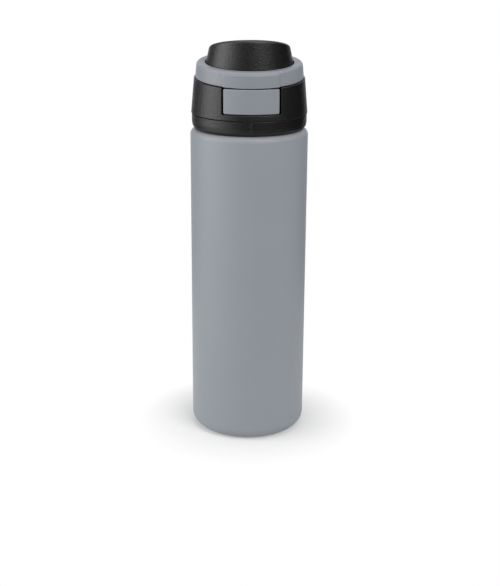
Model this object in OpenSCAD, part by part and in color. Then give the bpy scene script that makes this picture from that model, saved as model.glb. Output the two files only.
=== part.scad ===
// Vacuum-insulated steel bottle with a screw lid and a push-button flip cover.
// The base stands on Z = 0, the axis is Z, and the button faces -Y.

/* [Bottle] */
// Outside diameter of the bottle
body_d = 73; // [70:0.5:78]
// Height from the table to the shoulder, where the lid starts
body_h = 196.4; // [150:0.2:260]
// Radius of the bottom corner
base_round = 7.4; // [5:0.1:10]
// Radius of the shoulder's edge
shoulder_round = 4; // [2:0.1:4.4]
// Thickness of both steel walls
steel_t = 0.6; // [0.4:0.1:0.8]
// Vacuum gap between the two walls along the side
vacuum_gap = 2.9; // [2:0.1:4]
// Vacuum gap under the inner flask
base_gap = 4.2; // [3.4:0.1:8]
// Width of the flat ring that the bottle stands on
foot_w = 3.1; // [2:0.1:5]
// Height of the hollow under the base
foot_h = 2; // [1.2:0.1:3]

/* [Neck] */
// How far the neck stands in from the bottle's side
neck_inset = 8.5; // [8.3:0.1:9.5]
// Height of the neck above the shoulder
neck_h = 13.6; // [12.6:0.1:13.9]
// Vacuum gap between the two walls in the neck
neck_gap = 0.6; // [0.4:0.1:1]
// Radius where the neck meets the shoulder
neck_round = 1.5; // [1:0.1:1.8]
// Room for the screw thread between the neck and the collar
thread_room = 1.9; // [1.6:0.1:2]

/* [Lid] */
// How far the collar stands in from the bottle's side
collar_inset = 1; // [0.8:0.1:1.2]
// Height of the collar's outer band above the shoulder
collar_h = 9; // [8.2:0.1:9.2]
// How far the collar's bottom edge is drawn in
collar_bevel = 1.8; // [1:0.1:2]
// Dark seam over the collar and under the cover
seam_gap = 0.35; // [0.3:0.05:0.5]
// How far the housing's bottom edge stands out over the collar
housing_out = 0.4; // [0.2:0.1:0.5]
// How far the housing draws in towards its top
housing_draft = 1.9; // [1.6:0.1:2]
// Height from the shoulder to the seam under the cover
lid_h = 31.2; // [31.1:0.1:34]
// Thickness of the moulded outer walls
wall_t = 2.2; // [1.8:0.1:2.3]
// Thickness of the inner floors and partitions
web_t = 1.6; // [1.2:0.1:1.7]
// Depth of the plug that reaches down the neck
plug_h = 7.6; // [5:0.1:10]
// Thickness of the gasket on the mouth
gasket_t = 1.4; // [1:0.1:1.6]

/* [Spout] */
// Outside radius of the drinking spout
spout_r = 12.4; // [11:0.1:13]
// Wall of the spout
spout_t = 2; // [1.4:0.1:2.4]
// How far the spout stands forward of the bottle's axis
spout_forward = 6; // [4:0.1:7]

/* [Cover] */
// Forward tilt of the seam under the cover, in degrees
cover_tilt = 5.3; // [4.6:0.1:5.6]
// Height of the cover's ring
ring_h = 9.2; // [8.6:0.1:10]
// Step from the housing in to the ring
ring_step = 0.75; // [0.6:0.05:0.9]
// How far the ring draws in towards its top
ring_draft = 0.75; // [0.4:0.05:1]
// Width of the ring's top face
ring_w = 5.4; // [5:0.1:6]
// Radius of the ring's top outer edge
ring_round = 1.8; // [1:0.1:2]
// Width of the flat pad on the ring's front
pad_w = 32.8; // [24:0.2:36]
// How far the pad stands proud of the ring
pad_proud = 0.4; // [0.2:0.05:0.5]
// Dark gap round the dome
dome_gap = 0.6; // [0.4:0.1:0.8]
// Lean of the dome's side, in degrees
dome_lean = 12.2; // [8:0.1:13]
// Backward slope of the dome's top, in degrees
dome_slope = 14; // [13:0.5:16]
// Height of the dome over the ring, at the back
dome_back_h = 0.5; // [0.4:0.1:3]
// Thickness of the dome
dome_t = 1.8; // [1.4:0.1:2.2]
// Length of the rounding at the dome's rim
rim_round = 2; // [1.5:0.1:3]
// Rise of the dome's top towards its middle
dome_crown = 0.5; // [0.2:0.1:0.8]
// Angle that the cover opens through, in degrees
cover_open = 120; // [90:1:120]

/* [Button] */
// Width of the button
button_w = 32.4; // [31.4:0.1:33]
// Height of the button
button_h = 14.4; // [13.8:0.1:14.6]
// Thickness of the button's face
button_t = 2; // [1.6:0.1:2.1]
// Travel of the button
press = 1.5; // [1:0.1:1.5]
// Dark gap beside and under the button
button_gap = 0.6; // [0.4:0.1:0.8]
// Width of the hook that the latch holds
hook_w = 10; // [8:0.1:10.4]

/* [Hinge] */
// Diameter of the hinge pin
pin_d = 2.5; // [2:0.1:2.6]
// Radius of the hinge's knuckles
knuckle_r = 2.8; // [2.7:0.05:2.9]
// Width of the cover's knuckle
knuckle_w = 12; // [11.4:0.1:14]
// Thickness of each ear on the housing
ear_t = 2.8; // [2:0.1:3.4]

/* [Springs] */
// Wire of the hinge spring
hinge_wire = 0.6; // [0.5:0.05:0.65]
// Curls in the hinge spring
hinge_curls = 3; // [2:1:3]
// Wire of the button springs
button_wire = 0.5; // [0.4:0.05:0.55]
// Curls in each button spring
button_curls = 4; // [3:1:4]

/* [Hidden] */

$fn = 96;

// Colours
powder_grey = [0.58, 0.6, 0.61];
bare_steel = [0.78, 0.79, 0.8];
glass_green = [0.45, 0.55, 0.5];
grey_plastic = [0.57, 0.59, 0.6];
black_plastic = [0.1, 0.1, 0.11];
soft_silicone = [0.5, 0.52, 0.53];
spring_steel = [0.7, 0.71, 0.72];

// Overrun of every cut past the face that it leaves
over = 1;
// Gap between parts that slide past each other
run_gap = 0.25;
// Gap between parts that sit together
snug = 0.15;
// Gap either side of a gasket and under a seal
seal_gap = 0.1;
// Gap round the pin, in the cover's knuckle and in the ears
knuckle_play = 0.05;
ear_play = 0.02;
// Gap between the hinge's knuckle and the parts beside it
hinge_gap = 0.4;
// Gap round the disc that is welded into the base
weld_gap = 0.05;
// Edge that is taken off a moulded corner
edge_cut = 0.4;

// Bottle
body_r = body_d / 2;
foot_r1 = body_r - base_round;
foot_r0 = foot_r1 - foot_w;
neck_r = body_r - neck_inset;
rim_z = body_h + neck_h;
bore_r = body_r - 2 * steel_t - vacuum_gap;
mouth_r = neck_r - 2 * steel_t - neck_gap;
// How far the base's curled edge reaches over the welded disc
curl_lap = 0.6;
flask_base_round = 9;
flask_top_round = 7;
disc_z = foot_h + steel_t;
flask_z0 = disc_z + base_gap;
flask_z1 = body_h - steel_t - vacuum_gap;

// Dimple in the base with the bead that closes the vacuum
dimple_r = 6;
dimple_h = 0.9;
vent_r = 0.8;
bead_r = 2.6;
bead_h = 0.9;

// Getter, which keeps the vacuum
getter_r = 5;
getter_h = 1.8;
getter_gap = 5.5;
getter_x = foot_r0 - getter_gap - getter_r;

// Collar
collar_r = body_r - collar_inset;
collar_z0 = body_h + run_gap;
collar_z1 = body_h + collar_h;
bevel_h = 1.7;
bevel_back = 0.4;
bevel_top_h = 4;
thread_r = neck_r + thread_room;
sleeve_t = 1.4;
sleeve_r = thread_r + sleeve_t;
skirt_r = collar_r - wall_t;
land_w = 1.2;

// Housing, a cone from the collar's seam up to the cover's seam
housing_r0 = collar_r + housing_out;
housing_z0 = collar_z1 + seam_gap;
part_z = body_h + lid_h;
housing_lean = housing_draft / (part_z - housing_z0);
housing_r1 = housing_r0 - housing_draft;
function housing_r(z) = housing_r0 - housing_lean * (z - housing_z0);
function part_at(y) = part_z + y * tan(cover_tilt);

// Deck, from the mouth's gasket upwards, with the latch between its floors
plug_gap = 0.6;
riser_out = 0.6;
slide_h = 5.6;
plug_r = mouth_r - plug_gap;
riser_r = neck_r + riser_out;
flange_z0 = rim_z + gasket_t + 2 * seal_gap;
flange_z1 = flange_z0 + web_t;
slide_z0 = flange_z1 + run_gap;
slide_z1 = slide_z0 + slide_h;
deck_z0 = slide_z1 + run_gap;
deck_z1 = deck_z0 + web_t;
deck_r = housing_r(deck_z1) - wall_t - snug;

// Cover, in its own frame on the tilted seam
ring_r0 = housing_r1 - ring_step;
ring_r1 = ring_r0 - ring_draft;
ring_z0 = seam_gap / 2;
ring_in = ring_r1 - wall_t;
ring_top_t = 2;
hole_r = ring_r1 - ring_w;
hole_cut = 0.5;
dome_r = hole_r - dome_gap;
// Facets round the dome, shares of the bend at which its rim has a ring of points,
// and the most of the side's height that the rim's rounding takes
dome_seg = 72;
bend_shares = [0, 0.2, 0.4, 0.6, 0.8, 1];
side_share = 0.7;
dome_flange_t = 1.6;
liner_r = ring_in - snug;
liner_z0 = seam_gap;
dome_rise_lean = tan(dome_lean);
dome_rise_slope = tan(dome_slope + cover_tilt);
dome_rise = dome_r * dome_rise_slope
    + dome_back_h * (1 - dome_rise_lean * dome_rise_slope);

// Height of the dome's top on the bottle's axis
dome_z = part_z + (ring_h + dome_rise) * (cos(cover_tilt) - sin(cover_tilt) * tan(dome_slope));

// Spout and its seal, whose faces lie along the dome's top
boss_r = 8;
boss_h = 2.4;
seal_t = 1.8;
seal_out = 0.8;
seal_plug_h = 2.2;
seal_taper = 0.4;
stem_r = 3;
stem_h = 1.8;
spout_bore = spout_r - spout_t;
spout_foot_r = 1.6;
seal_stack = dome_t + boss_h + seal_t + seal_gap;
spout_rim_z = dome_z - seal_stack / cos(dome_slope) + spout_forward * tan(dome_slope);
// Height that the spout is drawn to before its rim is cut at a slant
spout_h = spout_rim_z - deck_z0 + spout_r;

// Button
button_z1 = part_at(-ring_r0) - hinge_gap;
button_z0 = button_z1 - button_h;
window_w = button_w + 2 * button_gap;
function cap_in(z) = housing_r(z) - button_t;
sweep_r = cap_in(button_z1) - run_gap;
peg_x = 8;
peg_w = 2.4;
peg_h = 2.4;

// Latch slide, its slot and the hook, from the front to the back
bar_t = 1.4;
hook_t = 1.6;
barb_d = 1;
barb_nose = 0.6;
hook_lead = 0.5;
keeper_h = 2.6;
swing_room = 1.1;
slide_w = button_w - 1.6;
slide_r = cap_in(slide_z1) - snug;
slot_y0 = -slide_r + bar_t;
hook_y0 = slot_y0 + press + swing_room;
hook_y1 = hook_y0 + hook_t;
barb_y = hook_y1 + barb_d;
keeper_y0 = barb_y + snug;
slide_y1 = keeper_y0 + bar_t;
pocket_y = slide_y1 + press + run_gap;
peg_y = hook_y0 - edge_cut;
barb_z = slide_z1 - keeper_h - snug;
hook_z0 = slide_z0 + run_gap;
guide_w = slide_w + 2 * run_gap;

// Button springs
button_spring_r = 1.5;
button_spring_x = 11;
seat_r = button_spring_r + button_wire / 2 + run_gap;
seat_h = 3.6;
seat_y = slide_y1 - seat_h;
end_gap = 0.05;
// Rings of points in each curl of a spring
rings_a_curl = 8;
turn_step = 360 / rings_a_curl;

// Hinge
pin_r = pin_d / 2;
hinge_up = 1.05;
hinge_y = housing_r1 + knuckle_r + hinge_gap / 2;
hinge_z = part_at(hinge_y) + hinge_up;
arm_t = 2.4;
heel_t = 1.6;
heel_l = hinge_y - housing_r1 + 1.1 * knuckle_r / 2.8;
heel_stop = 120;
coil_w = 5.2;
ear_r = knuckle_r + run_gap;
ear_x0 = knuckle_w / 2 + hinge_gap;
ear_x1 = ear_x0 + ear_t;
gusset_h = 10;
gusset_in = 1.8;
gusset_foot = 0.6;
gusset_angle = -30;

// Hinge spring
hinge_spring_r = 2;
hinge_pitch = (coil_w - hinge_wire - 2 * run_gap) / (hinge_curls + 0.5);
slot_w = hinge_wire + 2 * run_gap;
cover_leg_y = ring_in + edge_cut;
lid_leg_y = housing_r1 - wall_t + edge_cut;

// Reach that is past every part, for cutting blocks
reach = 2 * body_d;

echo("capacity to the shoulder, ml", PI * bore_r * bore_r * (flask_z1 - flask_z0) / 1000);

// Filled half outline with a rounded bottom and top corner
module rounded_half(r, z0, z1, round0, round1) {
    translate([0, z0 + round0]) square([r, z1 - z0 - round0 - round1]);
    translate([0, z0]) square([r - round0, round0]);
    translate([0, z1 - round1]) square([r - round1, round1]);
    translate([r - round0, z0 + round0]) circle(round0);
    translate([r - round1, z1 - round1]) circle(round1);
}

// Round tube from height z0 to z1
module pipe(r0, r1, z0, z1) {
    rotate_extrude() translate([r0, z0]) square([r1 - r0, z1 - z0]);
}

// Block given by its two corners
module block(low, high) {
    translate(low) cube(high - low);
}

// Cylinder along X from x0 to x1 about the hinge
module hinge_rod(r, x0, x1) {
    translate([x0, hinge_y, hinge_z]) rotate([0, 90, 0]) cylinder(r = r, h = x1 - x0);
}

// Frame of the cover, which lies on the tilted seam
module in_cover() {
    translate([0, 0, part_z]) rotate([cover_tilt, 0, 0]) children();
}

// Frame of the spout's slanted rim
module on_rim() {
    translate([0, -spout_forward, spout_rim_z]) rotate([-dome_slope, 0, 0]) children();
}

// Both sides of the middle
module both() {
    children();
    mirror([1, 0, 0]) children();
}

// Round wire along a path. Each ring of points stands square to the path,
// and side_axis is a direction that the path never takes.
function unit(v) = v / norm(v);
function along(path, i) =
    unit(path[min(i + 1, len(path) - 1)] - path[max(i - 1, 0)]);
function wire_ring(path, i, r, side_axis) =
    let (
        t = along(path, i),
        n = unit(cross(side_axis, t)),
        b = cross(t, n)
    )
    [for (k = [0:5]) path[i] + r * (cos(60 * k) * n + sin(60 * k) * b)];
module wire(path, r, side_axis) {
    last = len(path) - 1;
    points = [for (i = [0:last]) each wire_ring(path, i, r, side_axis)];
    sides = [
        for (i = [0:last - 1], k = [0:5])
        let (a = 6 * i + k, b = 6 * i + (k + 1) % 6)
        each [[a, a + 6, b + 6], [a, b + 6, b]]
    ];
    start = [for (k = [1:4]) [0, k, k + 1]];
    end = [for (k = [1:4]) [6 * last, 6 * last + k + 1, 6 * last + k]];
    polyhedron(points = points, faces = concat(sides, start, end));
}

// Least gap between the curls of a wire, measured on points at least half a curl apart
function self_gap(path, d, apart) =
    min([
        for (i = [0:len(path) - 1], j = [0:len(path) - 1])
        if (j - i >= apart) norm(path[j] - path[i])
    ]) - d;

// Button spring: a coil about the Y axis, from the slide's seat to the pocket's wall
button_coil_y0 = seat_y + end_gap + button_wire / 2;
button_coil_y1 = pocket_y - end_gap - button_wire / 2;
button_coil = [
    for (i = [0:button_curls * rings_a_curl])
    let (a = i * turn_step, t = i / (button_curls * rings_a_curl))
    [
        button_spring_r * cos(a),
        button_coil_y0 + t * (button_coil_y1 - button_coil_y0),
        button_spring_r * sin(a)
    ]
];

// Hinge spring: a leg in the housing, a coil round the pin and a leg under the cover
hinge_coil_x0 = -coil_w / 2 + run_gap + hinge_wire / 2;
hinge_steps = (hinge_curls + 0.5) * rings_a_curl;
hinge_coil = [
    for (i = [0:hinge_steps])
    let (a = -90 + i * turn_step)
    [
        hinge_coil_x0 + i / rings_a_curl * hinge_pitch,
        hinge_y + hinge_spring_r * cos(a),
        hinge_z + hinge_spring_r * sin(a)
    ]
];
hinge_coil_x1 = hinge_coil[hinge_steps][0];
hinge_path = concat(
    [
        [hinge_coil_x0, lid_leg_y, hinge_z - hinge_spring_r],
        [hinge_coil_x0, hinge_y - hinge_spring_r, hinge_z - hinge_spring_r]
    ],
    hinge_coil,
    [
        [hinge_coil_x1, hinge_y - hinge_spring_r, hinge_z + hinge_spring_r],
        [hinge_coil_x1, cover_leg_y, hinge_z + hinge_spring_r]
    ]
);

echo("least gap in the button springs, mm", self_gap(button_coil, button_wire, 5));
echo("least gap in the hinge spring, mm", self_gap(hinge_coil, hinge_wire, 5));

// Steel bottle
module bottle_form(inset) {
    rotate_extrude() rounded_half(
        body_r - inset, inset, body_h - inset, base_round - inset, shoulder_round - inset
    );
}

// Fillet between the neck and the shoulder, sunk half a wall into both
module neck_fillet() {
    sunk = steel_t / 2;
    rotate_extrude() translate([neck_r, body_h]) difference() {
        translate([-sunk, -sunk]) square(neck_round + sunk);
        translate([neck_round, neck_round]) circle(neck_round);
    }
}

module outer_shell() {
    color(powder_grey) {
        difference() {
            union() {
                bottle_form(0);
                pipe(mouth_r, neck_r, body_h - shoulder_round, rim_z - steel_t);
                neck_fillet();
            }
            bottle_form(steel_t);
            translate([0, 0, body_h / 2]) cylinder(r = neck_r - steel_t, h = body_h);
            translate([0, 0, -over]) cylinder(r = foot_r0, h = foot_h + over);
        }
        pipe(foot_r0, foot_r0 + steel_t, 0, disc_z + curl_lap);
    }
}

module inner_flask() {
    color(bare_steel) {
        difference() {
            union() {
                rotate_extrude() rounded_half(
                    bore_r + steel_t, flask_z0, flask_z1,
                    flask_base_round + steel_t, flask_top_round + steel_t
                );
                cylinder(r = mouth_r + steel_t, h = rim_z - steel_t);
            }
            cylinder(r = reach, h = flask_z0);
            rotate_extrude() rounded_half(
                bore_r, flask_z0 + steel_t, flask_z1 - steel_t,
                flask_base_round, flask_top_round
            );
            translate([0, 0, flask_z1 - flask_top_round])
                cylinder(r = mouth_r, h = reach);
        }
        pipe(mouth_r, neck_r, rim_z - steel_t, rim_z);
    }
}

module base_disc() {
    roof_z = foot_h + dimple_h;
    color(powder_grey) {
        pipe(dimple_r - steel_t, foot_r0 - weld_gap, foot_h, disc_z);
        pipe(dimple_r - steel_t, dimple_r, foot_h, roof_z + steel_t);
        pipe(vent_r, dimple_r, roof_z, roof_z + steel_t);
    }
}

// Bead of sealing glass: a shallow cap under the vent and a plug in it
module vacuum_seal() {
    roof_z = foot_h + dimple_h;
    ball_r = (bead_r * bead_r + bead_h * bead_h) / (2 * bead_h);
    color(glass_green) {
        intersection() {
            translate([0, 0, roof_z - bead_h + ball_r]) sphere(ball_r);
            translate([0, 0, roof_z - 2 * bead_h]) cylinder(r = bead_r, h = 2 * bead_h);
        }
        translate([0, 0, roof_z - bead_h / 2])
            cylinder(r = vent_r - ear_play, h = bead_h / 2 + steel_t);
    }
}

module getter() {
    color(bare_steel) translate([getter_x, 0, disc_z]) {
        difference() {
            cylinder(r = getter_r, h = getter_h);
            translate([0, 0, getter_h - edge_cut])
                cylinder(r = getter_r - steel_t, h = edge_cut + over);
        }
    }
}

// Gasket, which lies on the mouth round the lid's plug
module neck_gasket() {
    color(soft_silicone) rotate_extrude() difference() {
        translate([plug_r + snug, rim_z + seal_gap])
            square([neck_r - plug_r - snug, gasket_t]);
        translate([neck_r, rim_z + seal_gap + gasket_t / 2])
            circle(r = gasket_t / 4);
    }
}

// Collar: a skirt that shows, a sleeve for the thread and a web between them
module lid_collar() {
    web_z = collar_z1 - web_t;
    land_r = sleeve_r + land_w;
    color(black_plastic) rotate_extrude() polygon([
        [thread_r, collar_z0],
        [sleeve_r, collar_z0],
        [sleeve_r, web_z],
        [skirt_r, web_z],
        [skirt_r, collar_z0],
        [collar_r - collar_bevel, collar_z0],
        [collar_r - bevel_back, collar_z0 + bevel_h],
        [collar_r, collar_z0 + bevel_top_h],
        [collar_r, collar_z1 - edge_cut],
        [collar_r - edge_cut, collar_z1],
        [land_r, collar_z1],
        [land_r, housing_z0],
        [sleeve_r, housing_z0],
        [sleeve_r, flange_z0],
        [thread_r, flange_z0]
    ]);
}

// One ear of the hinge with the gusset that carries it
module hinge_ear() {
    shelf_y = housing_r1 - gusset_in;
    shelf_z = part_at(shelf_y) - seam_gap;
    foot_z = hinge_z - gusset_h;
    foot_y = housing_r(foot_z) - gusset_in / 2;
    difference() {
        translate([ear_x0, 0, 0]) rotate([90, 0, 90]) linear_extrude(ear_t) {
            translate([hinge_y, hinge_z]) circle(ear_r);
            polygon([
                [shelf_y, foot_z],
                [foot_y + gusset_foot, foot_z],
                [hinge_y + ear_r * cos(gusset_angle), hinge_z + ear_r * sin(gusset_angle)],
                [hinge_y, hinge_z],
                [housing_r1, shelf_z],
                [shelf_y, shelf_z]
            ]);
        }
        hinge_rod(pin_r + ear_play, ear_x0 - over, ear_x1 + over);
    }
}

module lid_housing() {
    top_z = part_at(housing_r0) + over;
    color(black_plastic) {
        difference() {
            rotate_extrude() polygon([
                [sleeve_r + snug, housing_z0],
                [housing_r0 - edge_cut, housing_z0],
                [housing_r(housing_z0 + edge_cut), housing_z0 + edge_cut],
                [housing_r(top_z), top_z],
                [housing_r(top_z) - wall_t, top_z],
                [housing_r(housing_z0 + web_t) - wall_t, housing_z0 + web_t],
                [sleeve_r + snug, housing_z0 + web_t]
            ]);
            in_cover() translate([-reach / 2, -reach / 2, -ring_z0]) cube(reach);
            block(
                [-window_w / 2, -reach, button_z0 - button_gap],
                [window_w / 2, -sleeve_r / 2, part_z]
            );
            block(
                [hinge_coil_x0 - slot_w / 2, 0, hinge_z - hinge_spring_r - slot_w / 2],
                [hinge_coil_x0 + slot_w / 2, reach, part_z + reach]
            );
        }
        both() hinge_ear();
    }
}

// Rest of the deck's outline at the front, clear of the pressed button
module button_sweep() {
    difference() {
        block([-window_w / 2, -reach, rim_z], [window_w / 2, -sleeve_r / 2, part_z]);
        translate([0, press, 0]) cylinder(r = sweep_r, h = reach * 2);
    }
}

module spout_deck() {
    plug_z0 = flange_z0 - plug_h;
    wall_y = pocket_y + web_t;
    color(black_plastic) difference() {
        union() {
            difference() {
                union() {
                    pipe(plug_r - web_t, plug_r, plug_z0, flange_z0);
                    pipe(plug_r - web_t, sleeve_r, flange_z0, flange_z1);
                    pipe(riser_r - web_t, riser_r, flange_z1, deck_z0);
                    pipe(0, deck_r, deck_z0, deck_z1);
                }
                // Pocket for the latch, open towards the button
                block([-guide_w / 2, -reach, flange_z1], [guide_w / 2, pocket_y, deck_z0]);
            }
            // Floor, back and sides of the pocket
            intersection() {
                block([-window_w / 2, -sleeve_r, flange_z0], [window_w / 2, wall_y, flange_z1]);
                cylinder(r = sleeve_r, h = reach * 2);
            }
            block([-window_w / 2, pocket_y, flange_z0], [window_w / 2, wall_y, deck_z1]);
            both() block(
                [guide_w / 2, slide_y1 - seat_h, flange_z0],
                [window_w / 2, wall_y, deck_z1]
            );
            translate([0, -spout_forward, deck_z0]) cylinder(r = spout_r, h = spout_h);
            spout_foot();
        }
        // Bore of the spout and the slant of its rim
        translate([0, -spout_forward, deck_z0 - over]) cylinder(r = spout_bore, h = reach);
        on_rim() translate([-reach / 2, -reach / 2, 0]) cube(reach);
        // Notch for the hook
        block(
            [-hook_w / 2 - run_gap, -reach, deck_z0 - over],
            [hook_w / 2 + run_gap, barb_y + run_gap, deck_z1 + over]
        );
        button_sweep();
    }
}

// Rounded foot of the spout on the deck
module spout_foot() {
    translate([0, -spout_forward, deck_z1 - edge_cut]) rotate_extrude() difference() {
        translate([spout_r - edge_cut, 0]) square(spout_foot_r + edge_cut);
        translate([spout_r + spout_foot_r, spout_foot_r + edge_cut]) circle(spout_foot_r);
    }
}

module hinge_pin() {
    color(bare_steel) hinge_rod(pin_r, snug - ear_x1, ear_x1 - snug);
}

module hinge_spring() {
    color(spring_steel) wire(hinge_path, hinge_wire / 2, [1, 0, 0]);
}

// Half of the cover's knuckle, with its arm and the heel that stops the cover
module knuckle_half() {
    x0 = coil_w / 2;
    x1 = knuckle_w / 2;
    hinge_rod(knuckle_r, x0, x1);
    block([x0, ring_in + wall_t / 2, hinge_z - arm_t / 2], [x1, hinge_y, hinge_z + arm_t / 2]);
    translate([0, hinge_y, hinge_z]) rotate([cover_open - heel_stop, 0, 0])
        block([x0, 0, -heel_t / 2], [x1, heel_l, heel_t / 2]);
}

module ring_pad() {
    top = ring_h - ring_round;
    intersection() {
        rotate_extrude() polygon([
            [ring_in + edge_cut, ring_z0],
            [ring_r0 + pad_proud, ring_z0],
            [ring_r1 + pad_proud, top],
            [ring_r1 - pad_proud, top + 2 * pad_proud],
            [ring_in + edge_cut, top]
        ]);
        block([-pad_w / 2, -reach, -over], [pad_w / 2, 0, ring_h]);
    }
}

module cover_ring() {
    top = ring_h - ring_round;
    color(grey_plastic) difference() {
        union() {
            in_cover() {
                rotate_extrude() {
                    polygon([
                        [hole_r, ring_h - hole_cut],
                        [hole_r, ring_h - ring_top_t],
                        [ring_in, ring_h - ring_top_t],
                        [ring_in, ring_z0],
                        [ring_r0, ring_z0],
                        [ring_r1, top],
                        [ring_r1 - ring_round, ring_h],
                        [hole_r + hole_cut, ring_h]
                    ]);
                    translate([ring_r1 - ring_round, top]) intersection() {
                        circle(ring_round);
                        square(ring_round);
                    }
                }
                ring_pad();
            }
            both() knuckle_half();
        }
        hinge_rod(pin_r + knuckle_play, -knuckle_w, knuckle_w);
        // Slot that the spring's leg lies in
        block(
            [hinge_coil_x1 - slot_w / 2, 0, part_z],
            [
                hinge_coil_x1 + slot_w / 2,
                hinge_y - hinge_spring_r,
                hinge_z + hinge_spring_r + hinge_wire / 2 + end_gap
            ]
        );
    }
}

// Height of the dome's rim over the ring, at angle a, with a wall inset
function rim_h(a, rise, r) =
    (rise - r * dome_rise_slope * sin(a)) / (1 - dome_rise_lean * dome_rise_slope * sin(a));

// Ring of points at a share of the way along the dome's outline: up the side,
// round the rim on a bent corner, and on to the top
function dome_point(a, r, rise, share) =
    let (
        h = rim_h(a, rise, r),
        side = min(rim_round, h * side_share),
        rim = [r - dome_rise_lean * h, h],
        down = [rim[0] + dome_rise_lean * side, h - side],
        in_r = rim[0] - side,
        in_h = rise - in_r * sin(a) * dome_rise_slope,
        in_top = [in_r, in_h],
        bend = (1 - share) * (1 - share) * down + 2 * share * (1 - share) * rim
            + share * share * in_top
    )
    [bend[0] * cos(a), bend[0] * sin(a), ring_h + bend[1]];

// Filled dome: a straight foot, a leaning side, a rounded rim and a slanted top
module dome_form(r, rise, foot_z, crown) {
    function circle_of(z) = [
        for (k = [0:dome_seg - 1])
        [r * cos(k * 360 / dome_seg), r * sin(k * 360 / dome_seg), z]
    ];
    rings = concat(
        [circle_of(foot_z), circle_of(ring_h)],
        [
            for (s = bend_shares)
            [for (k = [0:dome_seg - 1]) dome_point(k * 360 / dome_seg, r, rise, s)]
        ]
    );
    last = len(rings) - 1;
    points = concat(
        [for (one = rings) each one],
        [[0, 0, foot_z], [0, 0, ring_h + rise + crown]]
    );
    n = dome_seg;
    low = (last + 1) * n;
    sides = [
        for (i = [0:last - 1], k = [0:n - 1])
        let (a = n * i + k, b = n * i + (k + 1) % n)
        each [[a, a + n, b + n], [a, b + n, b]]
    ];
    base = [for (k = [0:n - 1]) [low, k, (k + 1) % n]];
    top = [for (k = [0:n - 1]) [low + 1, n * last + (k + 1) % n, n * last + k]];
    polyhedron(points = points, faces = concat(sides, base, top));
}

// Hollow of the dome, filled: the same lines one wall further in
module dome_hollow() {
    inner_r = dome_r - dome_t;
    high = 2 * dome_r;
    roof = ring_h + dome_rise - dome_t / cos(dome_slope + cover_tilt);
    difference() {
        rotate_extrude() polygon([
            [0, -over],
            [inner_r, -over],
            [inner_r, ring_h],
            [inner_r - high * dome_rise_lean, ring_h + high],
            [0, ring_h + high]
        ]);
        translate([0, 0, roof]) rotate([-dome_slope - cover_tilt, 0, 0])
            translate([-reach, -reach, 0]) cube(2 * reach);
    }
}

module cover_dome() {
    flange_z = ring_h - ring_top_t - dome_flange_t;
    inner_r = dome_r - dome_t;
    color(black_plastic) {
        in_cover() difference() {
            union() {
                dome_form(dome_r, dome_rise, flange_z, dome_crown);
                pipe(inner_r, liner_r, flange_z, flange_z + dome_flange_t);
            }
            dome_hollow();
        }
        difference() {
            on_rim() translate([0, 0, seal_gap + seal_t])
                cylinder(r = boss_r, h = boss_h + dome_t / 2);
            on_rim() cylinder(r = stem_r + snug, h = seal_gap + seal_t + stem_h + snug);
        }
    }
}

// Liner: closes the ring from below, holds the dome's flange and carries the hook
module cover_liner() {
    flange_z = ring_h - ring_top_t - dome_flange_t;
    plate_r = dome_r - dome_t + edge_cut;
    color(black_plastic) {
        in_cover() {
            pipe(plate_r, liner_r, liner_z0, liner_z0 + web_t);
            pipe(liner_r - web_t, liner_r, liner_z0 + web_t, flange_z);
        }
        rotate([90, 0, 90]) translate([0, 0, -hook_w / 2]) linear_extrude(hook_w) polygon([
            [hook_y0, part_at(hook_y0) + liner_z0 + web_t / 2],
            [hook_y0, hook_z0 + hook_lead],
            [hook_y0 + hook_lead, hook_z0],
            [hook_y1, hook_z0],
            [barb_y, barb_z - barb_nose],
            [barb_y, barb_z],
            [hook_y1, barb_z],
            [hook_y1, part_at(hook_y1) + liner_z0 + web_t / 2]
        ]);
    }
}

// Seal: a disc over the spout's rim, a plug in its bore and a stem in the boss
module spout_seal() {
    color(soft_silicone) {
        on_rim() translate([0, 0, seal_gap]) cylinder(r = spout_r + seal_out, h = seal_t);
        on_rim() translate([0, 0, seal_gap + seal_t - end_gap]) cylinder(r = stem_r, h = stem_h);
        intersection() {
            translate([0, -spout_forward, spout_rim_z - spout_r]) cylinder(
                r1 = spout_bore - run_gap - 2 * seal_taper,
                r2 = spout_bore - run_gap,
                h = 2 * spout_r
            );
            on_rim() translate([0, 0, seal_gap - seal_plug_h])
                cylinder(r = spout_r, h = seal_plug_h + seal_t / 2);
        }
    }
}

// Button: a piece of the housing's cone with eased edges, and two pegs behind it
module button_cap() {
    half = button_w / 2;
    edge_y = sqrt(pow(housing_r(button_z1), 2) - half * half);
    color(grey_plastic) {
        intersection() {
            rotate_extrude() polygon([
                [cap_in(button_z0), button_z0],
                [housing_r(button_z0) - edge_cut, button_z0],
                [housing_r(button_z0 + edge_cut), button_z0 + edge_cut],
                [housing_r(button_z1 - edge_cut), button_z1 - edge_cut],
                [housing_r(button_z1) - edge_cut, button_z1],
                [cap_in(button_z1), button_z1]
            ]);
            translate([0, 0, button_z0 - over]) linear_extrude(button_h + 2 * over) polygon([
                [half, 0],
                [half, edge_cut - edge_y],
                [half - 2 * edge_cut, -edge_y - edge_cut],
                [half - 2 * edge_cut, -reach],
                [2 * edge_cut - half, -reach],
                [2 * edge_cut - half, -edge_y - edge_cut],
                [-half, edge_cut - edge_y],
                [-half, 0]
            ]);
        }
        both() intersection() {
            block(
                [peg_x - peg_w / 2, -reach, (slide_z0 + slide_z1 - peg_h) / 2],
                [peg_x + peg_w / 2, peg_y, (slide_z0 + slide_z1 + peg_h) / 2]
            );
            cylinder(r = cap_in(slide_z1) + button_t / 4, h = reach * 2);
        }
    }
}

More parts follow.
